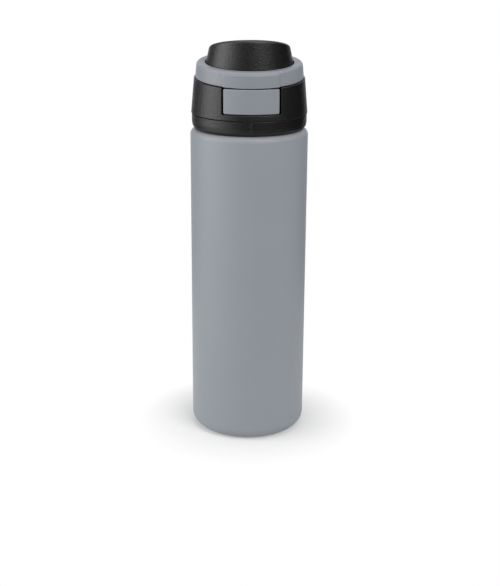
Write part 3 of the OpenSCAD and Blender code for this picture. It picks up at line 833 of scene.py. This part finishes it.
def make_flags():
    """Dark cloth in front and at both sides, seen in reflections alone. Each flag is a stretch
    of a drum, with the floor before it: the profile (FLAG_R0, FLAG_Z0), (FLAG_R1, FLAG_Z0),
    (FLAG_R1, FLAG_Z1) carried round Z from one angle to the other."""
    material = bpy.data.materials.new("black studio cloth")
    tree = cleared_tree(material)
    cloth = add(tree, "ShaderNodeBsdfDiffuse", {"Color": linear("#0A0A0A")})
    add(tree, "ShaderNodeOutputMaterial", {"Surface": cloth.outputs[0]})
    profile = np.array([(FLAG_R0, FLAG_Z0), (FLAG_R1, FLAG_Z0), (FLAG_R1, FLAG_Z1)])
    r, z = profile.T[..., None]
    for name, (start, end) in FLAGS.items():
        a = np.radians(np.linspace(start, end, FLAG_COLUMNS))
        points = round_z(a, r, z)
        i = len(a) * np.arange(2)[:, None] + np.arange(len(a) - 1)
        faces = np.stack([i, i + 1, i + 1 + len(a), i + len(a)], -1)
        mesh = bpy.data.meshes.new(name)
        mesh.from_pydata(points.reshape(-1, 3), [], faces.reshape(-1, 4).tolist())
        mesh.materials.append(material)
        flag = linked(name, mesh)
        flag.visible_camera = flag.visible_diffuse = flag.visible_shadow = False


def make_world():
    """Even grey light from all round, with white behind the bottle."""
    world = bpy.data.worlds.new("studio")
    bpy.context.scene.world = world
    tree = cleared_tree(world)
    grey = add(tree, "ShaderNodeBackground", {"Color": (1, 1, 1, 1), "Strength": AMBIENT})
    white = add(tree, "ShaderNodeBackground", {"Color": (1, 1, 1, 1), "Strength": 1.0})
    both = add(tree, "ShaderNodeMixShader", {
        0: seen_directly(tree), 1: grey.outputs[0], 2: white.outputs[0],
    })
    add(tree, "ShaderNodeOutputWorld", {"Surface": both.outputs[0]})


# Steel bottle


def thread(root, crest, start_z, start_turn):
    """Screw thread that stands on a round wall: a ridge along a right-handed helix. After t
    turns its section stands at the height start_z + THREAD_PITCH * t. Its height and width
    grow and run out by a half wave of the sine, over THREAD_RUNOUT turns at each end."""
    t = np.linspace(0, THREAD_TURNS, int(THREAD_TURNS * THREAD_STEPS))
    full = np.clip(np.minimum(t, THREAD_TURNS - t) / THREAD_RUNOUT, 0, 1)
    full = (np.sin((full - 0.5) * np.pi) / 2 + 0.5)[:, None]
    sunk = root - np.sign(crest - root) * THREAD_SUNK
    section, _ = rounded(
        [(0, -THREAD_W / 2), (1, -THREAD_CREST_W / 2), (1, THREAD_CREST_W / 2), (0, THREAD_W / 2)],
        [THREAD_ROOT_ROUND, EASED, EASED, THREAD_ROOT_ROUND], steps=3,
    )
    out, across = section.T
    r = sunk + (crest - sunk) * out * full
    z = start_z + THREAD_PITCH * t[:, None] + across * full
    return round_z(TURN * (t[:, None] + start_turn), r, z)


def make_shell():
    """Outer wall: foot, rounded base, side, shoulder and neck, turned from one outline.
    The coat stops under the collar, so the neck and its thread are bare steel."""
    t = STEEL
    wall = turned(
        [
            (FOOT_R0, 0), (BODY_R, 0), (BODY_R, BODY_H), (NECK_R, BODY_H),
            (NECK_R, RIM_Z - t), (NECK_R - t, RIM_Z - t), (NECK_R - t, BODY_H - t),
            (BODY_R - t, BODY_H - t), (BODY_R - t, t), (FOOT_R0 + t, t),
            (FOOT_R0 + t, DISC_Z + CURL_LAP), (FOOT_R0, DISC_Z + CURL_LAP),
        ],
        [
            SOFT, BASE_ROUND, SHOULDER_ROUND, NECK_ROUND, CRISP, CRISP, NECK_ROUND + t,
            SHOULDER_ROUND - t, BASE_ROUND - t, EASED, EASED, EASED,
        ],
        steps=12,
    )
    ridge = thread(NECK_R, NECK_CREST, THREAD_Z, 0)
    shell = piece("bottle_shell", [wall, ridge], coat, "bottle", ["outer_shell"])
    bare_above(shell, COAT_TOP)


def bare_above(obj, height):
    """Faces above that height are bare steel."""
    obj.data.materials.append(steel)
    centre = np.empty(len(obj.data.polygons) * 3, np.float32)
    obj.data.polygons.foreach_get("center", centre)
    bare = (centre.reshape(-1, 3)[:, 2] > height * MM).astype(np.int32)
    obj.data.polygons.foreach_set("material_index", bare)


def make_flask():
    """Inner wall, which holds the drink: one outline from the outside of its base over the
    welded rim to the inside of its base."""
    t = STEEL
    path = [
        (0, FLASK_Z0), (BORE_R + t, FLASK_Z0), (BORE_R + t, FLASK_Z1), (MOUTH_R + t, FLASK_Z1),
        (MOUTH_R + t, RIM_Z - t), (NECK_R, RIM_Z - t), (NECK_R, RIM_Z), (MOUTH_R, RIM_Z),
        (MOUTH_R, FLASK_Z1 - t), (BORE_R, FLASK_Z1 - t), (BORE_R, FLASK_Z0 + t), (0, FLASK_Z0 + t),
    ]
    radii = [
        FLASK_BASE_ROUND + t, FLASK_TOP_ROUND, NECK_FOOT_OUT, CRISP, EASED, RIM_ROUND, FULL,
        NECK_FOOT_IN, FLASK_TOP_ROUND, FLASK_BASE_ROUND,
    ]
    wall = turned_solid(path, radii, steps=10)
    piece("inner_flask_wall", [wall], steel, "bottle", ["inner_flask"])


def make_base():
    """Disc welded into the base, with a dimple in its middle and the glass bead that seals it.
    At the share s of its radius the bead hangs down by BEAD_H * (1 - s^2)."""
    t = STEEL
    disc_r = FOOT_R0 - WELD_GAP
    disc = turned(
        [
            (VENT_R, DIMPLE_Z), (DIMPLE_R - t, DIMPLE_Z), (DIMPLE_R - t, DISC_Z - t),
            (disc_r, DISC_Z - t), (disc_r, DISC_Z), (DIMPLE_R, DISC_Z),
            (DIMPLE_R, DIMPLE_Z + t), (VENT_R, DIMPLE_Z + t),
        ],
        [CRISP, DIMPLE_ROOF_ROUND, DIMPLE_LIP_ROUND, EASED, FINE, EASED, BROAD, CRISP],
    )
    piece("base_disc_wall", [disc], coat, "bottle", ["base_disc"])
    drop = np.linspace(0, 1, 12)[:, None]
    cap = np.concatenate([BEAD_R * drop, DIMPLE_Z - BEAD_H * (1 - drop ** 2)], 1)
    plug_r = VENT_R - BEAD_GAP
    plug = [(plug_r, DIMPLE_Z), (plug_r, DIMPLE_Z + t), (0, DIMPLE_Z + t)]
    bead = lathe(np.concatenate([cap, plug]), columns=64)
    piece("glass_bead", [bead], glass, "bottle", ["vacuum_seal"])


def make_gasket():
    """Silicone ring on the mouth, with a groove round its outer face."""
    middle = (GASKET_Z0 + GASKET_Z1) / 2
    groove = (GASKET_Z1 - GASKET_Z0) / 4
    ring = turned(
        [
            (GASKET_R0, GASKET_Z0), (NECK_R, GASKET_Z0), (NECK_R, middle - groove),
            (NECK_R - groove, middle), (NECK_R, middle + groove), (NECK_R, GASKET_Z1),
            (GASKET_R0, GASKET_Z1),
        ],
        [SOFT, FINE, CRISP, FINE, CRISP, FINE, SOFT],
    )
    piece("gasket_ring", [ring], seal_rubber, "gasket", ["neck_gasket"])


# Lid


def make_collar():
    """Collar: a skirt with a drawn-in bottom edge, a sleeve with the thread and a web between
    them. The seam of its mould shows as a fine raised line at the front, on what lies past
    MOULD_LINE_R: MOULD_LINE_PROUD high, and out by MOULD_LINE_HALF to each side."""
    web_z = COLLAR_Z1 - WEB
    corners = [
        (COLLAR_BORE, COLLAR_Z0), (SLEEVE_R, COLLAR_Z0), (SLEEVE_R, web_z), (SKIRT_R, web_z),
        (SKIRT_R, COLLAR_Z0), (COLLAR_R - COLLAR_FOOT_IN, COLLAR_Z0),
        (COLLAR_R - COLLAR_HIP_IN, COLLAR_Z0 + COLLAR_HIP_H),
        (COLLAR_R, COLLAR_Z0 + COLLAR_SIDE_H), (COLLAR_R, COLLAR_Z1), (LAND_R, COLLAR_Z1),
        (LAND_R, HOUSING_Z), (SLEEVE_R, HOUSING_Z), (SLEEVE_R, SLEEVE_Z), (COLLAR_BORE, SLEEVE_Z),
    ]
    radii = [
        SOFT, SOFT, FULL, FULL, COLLAR_FOOT_ROUND, FINE, FULL, COLLAR_SIDE_ROUND, BROAD, CRISP,
        CRISP, CRISP, SOFT, SOFT,
    ]
    profile, _ = rounded(corners, radii)
    w = places_along(MOULD_LINE_HALF * np.array([0, 1, 2, 3, 5]) / 3)
    r, z = profile.T[..., None]
    line = np.clip(1 - np.abs(w) / MOULD_LINE_HALF, 0, 1) * MOULD_LINE_PROUD
    wall = wrapped(w, r + line * (r > MOULD_LINE_R), z, WINDOW_HALF)
    ridge = thread(COLLAR_BORE, COLLAR_CREST, THREAD_Z - THREAD_PITCH / 2, COLLAR_START_TURN)
    piece("collar_wall", [wall, ridge], black_plastic, "lid", ["lid_collar"])


def housing_r(z):
    """Outer radius of the housing's cone at a height: HOUSING_R at its foot, and less by
    HOUSING_LEAN for each unit of height."""
    return HOUSING_R - HOUSING_LEAN * (z - HOUSING_Z)


def housing_top(w, depth):
    """Height of the wall's top, where the cone meets the tilted seam, found in three steps.
    Over the window it stays at the height of the window's corners."""
    w = np.where(w < 0, -1, 1) * np.maximum(np.abs(w), WINDOW_HALF)
    z = PART_Z
    for _ in range(3):
        r = housing_r(z) - depth
        y = -r * np.cos(bearing(w, r, WINDOW_HALF))
        z = PART_Z - SEAM / 2 + y * TILT_TAN
    return z


def housing_border():
    """Upper border of the wall, from the back round the right side, down and along the
    window and on to the back, with a slot there for the spring's leg. Its second measure
    is the height over the wall's top."""
    drop = housing_top(WINDOW_HALF, 0) - WINDOW_Z
    slot = BACK_W - LEG_SLOT_X1, BACK_W - LEG_SLOT_X0
    corners = [
        (BACK_W, 0), (WINDOW_HALF, 0), (WINDOW_HALF, -drop), (-WINDOW_HALF, -drop),
        (-WINDOW_HALF, 0), (-slot[0], 0), (-slot[0], -LEG_SLOT), (-slot[1], -LEG_SLOT),
        (-slot[1], 0), (-BACK_W, 0),
    ]
    radii = [WINDOW_CORNER] * 4 + [CRISP, EASED, EASED, CRISP]
    path, out = densify(*rounded_path(corners, radii, steps=4), WIDE_STEP)
    return path[:-1], out[:-1], drop


def housing_wall():
    """Wall of the housing as a loop of rows: round the foot, up the outside, over the lip,
    whose two edges are rounded, and down the inside. Each row holds the place, the height
    and the depth under the cone. The columns run from places spread along the foot to the
    points of the border. Under the window they keep the border's places at its lower edge,
    and fan out by FAN_SHARE towards its upper corners. Past it the fan closes over FAN_W."""
    border, out, drop = housing_border()
    w, q = border.T
    side = np.abs(w)
    fan_end = WINDOW_HALF + FAN_W
    past = np.interp(
        side, [WINDOW_HALF, fan_end, BACK_W], [WINDOW_HALF * FAN_SHARE, fan_end, BACK_W]
    )
    beside = side * (FAN_SHARE + (FAN_SHARE - 1) * q / drop)
    foot_w = np.sign(w) * np.where(side <= WINDOW_HALF, beside, past)
    flange_z = HOUSING_Z + WEB
    high = WINDOW_Z - LIP_OUT
    foot, _ = rounded_path(
        [
            (housing_r(high) - WALL, high), (housing_r(flange_z) - WALL, flange_z),
            (FLANGE_IN, flange_z), (FLANGE_IN, HOUSING_Z), (HOUSING_R, HOUSING_Z),
            (housing_r(high), high),
        ],
        [BROAD, EASED, EASED, BROAD],
    )
    r, z = foot[1:-1].T[..., None]
    foot_rows = np.stack(np.broadcast_arrays(foot_w, z, housing_r(z) - r), -1)
    lip, _ = rounded_path([(0, WALL), (0, 0), (WALL, 0), (WALL, WALL)], [LIP_OUT, LIP_IN])
    depth, inset = lip[1:-1].T[..., None]
    lip_w = w - out[:, 0] * inset
    lip_q = q - out[:, 1] * inset
    face_top, deep_top = housing_top(lip_w, 0), housing_top(lip_w, depth)
    lip_z = lip_q + deep_top + (face_top - deep_top) * np.clip(-lip_q / drop, 0, 1)
    lip_rows = np.stack(np.broadcast_arrays(lip_w, lip_z, depth), -1)
    t = np.linspace(0, 1, 11)[1:-1, None, None]
    outside = foot_rows[-1] + (lip_rows[0] - foot_rows[-1]) * t
    inside = lip_rows[-1] + (foot_rows[0] - lip_rows[-1]) * t
    rows = np.concatenate([foot_rows, outside, lip_rows, inside])
    w, z, depth = np.moveaxis(rows, -1, 0)
    return wrapped(w, housing_r(z) - depth, z, WINDOW_HALF)


def hinge_ears():
    """Two ears that hold the hinge's pin. Each has an arc of EAR_R about the pin, a root in
    the housing and a gusset down the housing's back."""
    foot_z = HINGE_Z - EAR_FOOT
    low = housing_r(foot_z) - EAR_SUNK
    top = hinge_arc(EAR_R, EAR_START, EAR_END)
    foot = rounded_path(
        [
            top[0][-1], (EAR_ROOT_Y, EAR_ROOT_Z), (EAR_ROOT_Y, foot_z), (low, foot_z), top[0][0],
        ],
        [EAR_ROOT_ROUND, SOFT, EAR_ROOT_ROUND],
    )
    outline, normals = densify(*joined(top, foot), STEP)
    ear = drilled_plate(outline, normals, EAR_X0, EAR_X1, EAR_EDGE, HINGE, PIN_R + EAR_FIT)
    return [ear, ear * (-1, 1, 1)]


def make_housing():
    """Housing with the button's window and the ears of the hinge."""
    sheets = [housing_wall(), *hinge_ears()]
    piece("housing_wall", sheets, black_plastic, "lid", ["lid_housing"])


def make_deck():
    """Moulding inside the lid, with the spout and the plug in the neck: its solid, with its
    doubles merged, its flats joined and its edges eased."""
    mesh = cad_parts["spout_deck"].data.copy()
    mesh.materials.clear()
    deck = finished("deck_with_spout", mesh, black_plastic, "lid", ["spout_deck"])
    bm = bmesh.new()
    bm.from_mesh(mesh)
    flat = np.radians(DECK_FLAT)
    bmesh.ops.dissolve_limit(bm, angle_limit=flat, verts=bm.verts, edges=bm.edges)
    bm.to_mesh(mesh)
    bm.free()
    mesh.shade_smooth()
    bevel = deck.modifiers.new("eased edges", "BEVEL")
    bevel.width = DECK_EDGE * MM
    bevel.segments = 2
    bevel.limit_method = "ANGLE"
    bevel.angle_limit = np.radians(DECK_FOLD)
    bevel.harden_normals = True


def make_button():
    """Button: a rounded rectangle of the housing's cone. Its columns follow the border, and
    its rows go from the middle of the face over the eased edges to the middle of the back.
    At the depth d a point (x, z) lies at y = -sqrt((R(z) - d)^2 - x^2). Two pegs on its back
    hold the latch."""
    corners = [
        (-BUTTON_HALF, BUTTON_Z0), (BUTTON_HALF, BUTTON_Z0), (BUTTON_HALF, BUTTON_Z1),
        (-BUTTON_HALF, BUTTON_Z1),
    ]
    border, out = densify(*rounded(corners, BUTTON_CORNER), STEP)
    depth, inset = eased_ends(0, BUTTON_T, BUTTON_EDGE, steps=5)
    rim = border - out * inset[:, None, None]
    middle = np.array([0, (BUTTON_Z0 + BUTTON_Z1) / 2])
    grow = np.linspace(0, 1, 11)[:-1, None, None]
    face = middle + (rim[0] - middle) * grow
    back = (middle + (rim[-1] - middle) * grow)[::-1]
    x, z = np.moveaxis(np.concatenate([face, rim, back]), -1, 0)
    depth = np.concatenate([np.zeros(len(face)), depth, np.full(len(back), BUTTON_T)])[:, None]
    y = -np.sqrt((housing_r(z) - depth) ** 2 - x ** 2)
    cap = np.stack([x, y, z], -1)
    peg_y = -np.sqrt((housing_r(PEG_Z) - BUTTON_T) ** 2 - PEG_X ** 2) - PEG_SUNK
    half = PEG_W / 2
    peg = block(
        (PEG_X - half, peg_y, PEG_Z - half), (PEG_X + half, PEG_Y, PEG_Z + half), PEG_EDGE
    )
    sheets = [cap, peg, peg * (-1, 1, 1)]
    piece("button_face", sheets, grey_plastic, "button", ["button_cap"])


# Cover


def hinge_knuckles():
    """Two halves of the cover's knuckle, each with its arm and the heel that stops the cover."""
    arm = np.degrees(np.arcsin(ARM_T / 2 / KNUCKLE_R))
    heel = np.degrees(np.arcsin(HEEL_T / 2 / KNUCKLE_R))
    low, low_out = hinge_arc(KNUCKLE_R, 180 + arm, 360 - heel)
    high, high_out = hinge_arc(KNUCKLE_R, heel, 180 - arm)
    y, z = HINGE
    tail = rounded_path(
        [low[-1], (y + HEEL_L, z - HEEL_T / 2), (y + HEEL_L, z + HEEL_T / 2), high[0]],
        [BROAD, BROAD],
    )
    front = rounded_path(
        [high[-1], (ARM_Y, z + ARM_T / 2), (ARM_Y, z - ARM_T / 2), low[0]], [SOFT, SOFT]
    )
    outline = joined((low, low_out), tail, (high, high_out), front)
    outline, normals = densify(*outline, SHORT_STEP)
    bore = PIN_R + KNUCKLE_FIT
    half = drilled_plate(outline, normals, KNUCKLE_X0, KNUCKLE_X1, SOFT, HINGE, bore)
    return [half, half * (-1, 1, 1)]


def make_ring():
    """Ring of the cover: a wall that leans in, a rounded top edge and a top face up to the
    hole for the dome. A pad stands PAD_PROUD off its front, on what lies past PAD_INNER_R.
    At each side of it a smooth step, PAD_EDGE to both sides of PAD_HALF, runs it out."""
    corners = [
        (RING_IN, RING_Z0), (RING_R0, RING_Z0), (RING_R1, RING_H), (HOLE_R, RING_H),
        (HOLE_R, RING_H - RING_TOP_T), (RING_IN, RING_H - RING_TOP_T),
    ]
    radii = [EASED, RING_FOOT_ROUND, RING_ROUND, FULL, EASED, SOFT]
    profile, _ = densify(*rounded(corners, radii, steps=8), FINE_STEP)
    w = places_along(PAD_HALF + PAD_EDGE * np.linspace(-1, 1, 9))
    r, z = profile.T[..., None]
    top = RING_H - RING_ROUND
    pad_r = RING_R0 + PAD_PROUD - (RING_R0 - RING_R1) * np.minimum(z, top) / RING_H
    pad_r = pad_r - np.maximum(z - top, 0)
    share = np.clip((PAD_HALF - np.abs(w)) / PAD_EDGE / 2 + 0.5, 0, 1)
    share = share * share * (3 - 2 * share)
    outer = r > PAD_INNER_R
    wall = wrapped(w, r + outer * share * np.maximum(pad_r - r, 0), z, PAD_HALF)
    sheets = [in_cover(wall), *hinge_knuckles()]
    piece("ring_wall", sheets, grey_plastic, "cover", ["cover_ring"])


def spokes(a, r, z):
    """Points at radius r and height z in the directions a, counted from +X."""
    return np.stack(np.broadcast_arrays(r * np.cos(a), r * np.sin(a), z), -1)


def dome_rim(a, r, rise):
    """Corner between the leaning side and the slanted top. A side of radius r - L h at the
    height h meets the top, rise - S y, where h = (rise - r S sin a) / (1 - L S sin a).
    Where that lies below the ring's top face, the side is upright."""
    low = rise - r * SLOPE_TAN * np.sin(a)
    h = low / np.where(low > 0, 1 - LEAN_TAN * SLOPE_TAN * np.sin(a), 1)
    return spokes(a, r - LEAN_TAN * np.maximum(h, 0), RING_H + h), h


def rounded_columns(before, corner, after, radius, steps):
    """Fillets of many columns at once, as rows of points."""
    points, _ = fillets(before, corner, after, radius, steps)
    return points.reshape(len(corner), -1, 3).swapaxes(0, 1)


def dome_skin():
    """Dome as rows of points in the cover's own frame, from the middle of the top over the
    rim, the side and the flange to the middle of the hollow's roof. At the share s of the way
    to the rim the top stands DOME_CROWN * (1 - s^2) over the plane of its slant."""
    a = np.linspace(0, TURN, DOME_COLUMNS, endpoint=False)
    zero = 0 * a
    rim, h = dome_rim(a, DOME_R, DOME_RISE)
    foot = spokes(a, DOME_R + zero, RING_H)
    peak = np.array([0, 0, RING_H + DOME_RISE])
    crown = np.array([0, 0, DOME_CROWN])
    rim_round = np.minimum(DOME_RIM_ROUND, DOME_RIM_SHARE * h)
    edge = rounded_columns(foot, rim, peak + 2 * crown + rim * 0, rim_round, steps=8)[::-1]
    grow = np.linspace(0, 1, 13)[:-1, None, None]
    top = peak + grow * (edge[0] - peak) + (1 - grow ** 2) * crown
    flange_z = RING_H - RING_TOP_T
    under = spokes(a, DOME_R + zero, flange_z)
    bend = rounded_columns(rim, foot, under, DOME_FOOT_ROUND, steps=3)
    inner_r = DOME_R - DOME_T
    flange, _ = rounded_path(
        [
            (DOME_R, RING_H), (DOME_R, flange_z), (FLANGE_R, flange_z),
            (FLANGE_R, flange_z - FLANGE_T), (inner_r, flange_z - FLANGE_T), (inner_r, flange_z),
        ],
        SOFT,
    )
    r, z = flange[1:-1].T[..., None]
    rise = DOME_RISE - DOME_T / np.cos(np.arctan(SLOPE_TAN))
    inner, inner_h = dome_rim(a, inner_r, rise)
    inner_foot = spokes(a, inner_r + zero, np.minimum(RING_H, RING_H + inner_h) - DOME_STEP)
    roof = np.array([0, 0, RING_H + rise])
    inner_edge = rounded_columns(inner_foot, inner, roof + 0 * inner, FULL, steps=4)
    ceiling = roof + grow[::-1] * (inner_edge[-1] - roof)
    return np.concatenate(
        [top, edge, bend, spokes(a, r, z), inner_foot[None], inner_edge, ceiling]
    )


def make_dome():
    """Dome: a rounded rim between its leaning side and its slanted, slightly crowned top, a
    flange that the ring holds down, the hollow, one wall further in, and the seal's boss."""
    base = SEAL_GAP + SEAL_T
    bore = STEM_R + BOSS_FIT
    boss = turned(
        [(bore, base), (BOSS_R, base), (BOSS_R, base + BOSS_H), (bore, base + BOSS_H)],
        [EASED, BROAD, CRISP, CRISP], columns=96,
    )
    sheets = [in_cover(dome_skin()), on_rim(boss)]
    piece("dome_shell", sheets, black_plastic, "cover", ["cover_dome"])


def make_liner():
    """Liner: closes the ring from below, holds the dome's flange and carries the hook that
    the latch catches."""
    wall_r = FLANGE_R - WEB
    flange_z = RING_H - RING_TOP_T - FLANGE_T
    ring = turned(
        [
            (LINER_IN, LINER_Z0), (FLANGE_R, LINER_Z0), (FLANGE_R, flange_z), (wall_r, flange_z),
            (wall_r, LINER_Z0 + WEB), (LINER_IN, LINER_Z0 + WEB),
        ],
        [FULL, SOFT, EASED, EASED, FULL, FULL],
    )
    top = PART_Z + HOOK_Y0 * TILT_TAN + LINER_Z0 + WEB / 2
    outline, normals = rounded(
        [
            (HOOK_Y0, HOOK_Z), (HOOK_Y1, HOOK_Z), (BARB_Y, BARB_Z - BARB_H), (BARB_Y, BARB_Z),
            (HOOK_Y1, BARB_Z), (HOOK_Y1, top), (HOOK_Y0, top),
        ],
        [FULL, EASED, EASED, FINE, EASED, CRISP, CRISP],
    )
    hook = plate(outline, normals, -HOOK_HALF, HOOK_HALF, HOOK_EDGE)
    sheets = [in_cover(ring), hook]
    piece("liner_ring", sheets, black_plastic, "cover", ["cover_liner"])


def make_seal():
    """Seal of the spout: a disc over its rim, a tapered plug in its bore and a stem in the
    dome's boss."""
    top = SEAL_GAP + SEAL_T
    foot = SEAL_GAP - SEAL_PLUG
    plug_r = SPOUT_BORE - PLUG_FIT
    path = [
        (0, foot), (plug_r - PLUG_TAPER, foot), (plug_r, SEAL_GAP), (SEAL_R, SEAL_GAP),
        (SEAL_R, top), (STEM_R, top), (STEM_R, top + STEM_H), (0, top + STEM_H),
    ]
    seal = turned_solid(path, [FULL, BROAD, FULL, FULL, EASED, SOFT], columns=96)
    piece("seal_plug", [on_rim(seal)], seal_rubber, "cover", ["spout_seal"])


# Hinge and springs


def make_pin():
    """Steel pin of the hinge."""
    pin = rod(PIN_R, -PIN_HALF, PIN_HALF, EASED)
    piece("hinge_pin_rod", [pin], steel, "lid", ["hinge_pin"])


def make_hinge_spring():
    """Torsion spring of the hinge: a leg in the housing's slot, a coil round the pin and a
    leg under the cover. One half of its wire rides on the lid and one on the cover. The coil
    unwinds by COVER_OPEN as the cover opens, so the halves meet then, but for a fine seam.
    With the cover closed they end that far apart, on the front of the coil, which faces the
    lid. Angles are counted from the back upwards, and the lid's half runs from SPRING_START
    to SPRING_CUT."""
    gap = COVER_OPEN / 360
    cut = (SPRING_CUT - SPRING_START) / 360
    seam = SPRING_SEAM / (TURN * SPRING_R)
    pitch = (SPRING_X1 - SPRING_X0) / (SPRING_TURNS - gap)

    def coil(t, x):
        """Points of the coil after t turns, at x across."""
        a = np.radians(SPRING_START) + TURN * t
        return np.stack(
            [x, HINGE_Y + SPRING_R * np.cos(a), HINGE_Z + SPRING_R * np.sin(a)], -1
        )

    leg = np.linspace(0, 1, 6)[:-1, None]
    t = np.linspace(0, cut, SPRING_STEPS + 1)
    low = coil(t, SPRING_X0 + pitch * t)
    low = np.concatenate([low[0] + (1 - leg) * (0, LID_LEG_Y - HINGE_Y, 0), low])
    t = np.linspace(cut + gap + seam, SPRING_TURNS, SPRING_STEPS + 1)
    high = coil(t, SPRING_X0 + pitch * (t - gap))
    high = np.concatenate([high, high[-1] + leg[1:] / leg[-1] * (0, COVER_LEG_Y - HINGE_Y, 0)])
    for path, body in ((low, "lid"), (high, "cover")):
        half = tube(path, SPRING_WIRE / 2, (1, 0, 0))
        piece(f"torsion_spring_on_{body}", [half], wire, body, ["hinge_spring"])


def make_button_springs():
    """Two coil springs that press the latch forward, each a helix about Y. They shorten as the
    button comes in."""
    t = np.linspace(0, 1, COIL_CURLS * COIL_STEPS)
    a = TURN * COIL_CURLS * t
    for side, word in ((-1, "left"), (1, "right")):
        path = np.stack([
            side * COIL_X + COIL_R * np.cos(a),
            COIL_Y0 + (COIL_Y1 - COIL_Y0) * t,
            PEG_Z + COIL_R * np.sin(a),
        ], -1)
        coil = tube(path, COIL_WIRE / 2, (0, 1, 0), sides=10)
        spring = piece(
            f"compression_spring_{word}", [coil], wire, "lid",
            [f"button_spring_{word}"],
        )
        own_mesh(spring)


def finish_nodes():
    """Solids that stay as they are get their finish."""
    for node, finish in {"getter": steel, "latch_slide": black_plastic}.items():
        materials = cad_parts[node].data.materials
        materials.clear()
        materials.append(finish)


make_camera()
for softbox in SOFTBOXES:
    make_lamp(*softbox)
make_floor()
make_flags()
make_world()
bpy.context.scene.view_settings.view_transform = "Standard"

make_shell()
make_flask()
make_base()
make_gasket()
make_collar()
make_housing()
make_deck()
make_button()
make_ring()
make_dome()
make_liner()
make_seal()
make_pin()
make_hinge_spring()
make_button_springs()
finish_nodes()
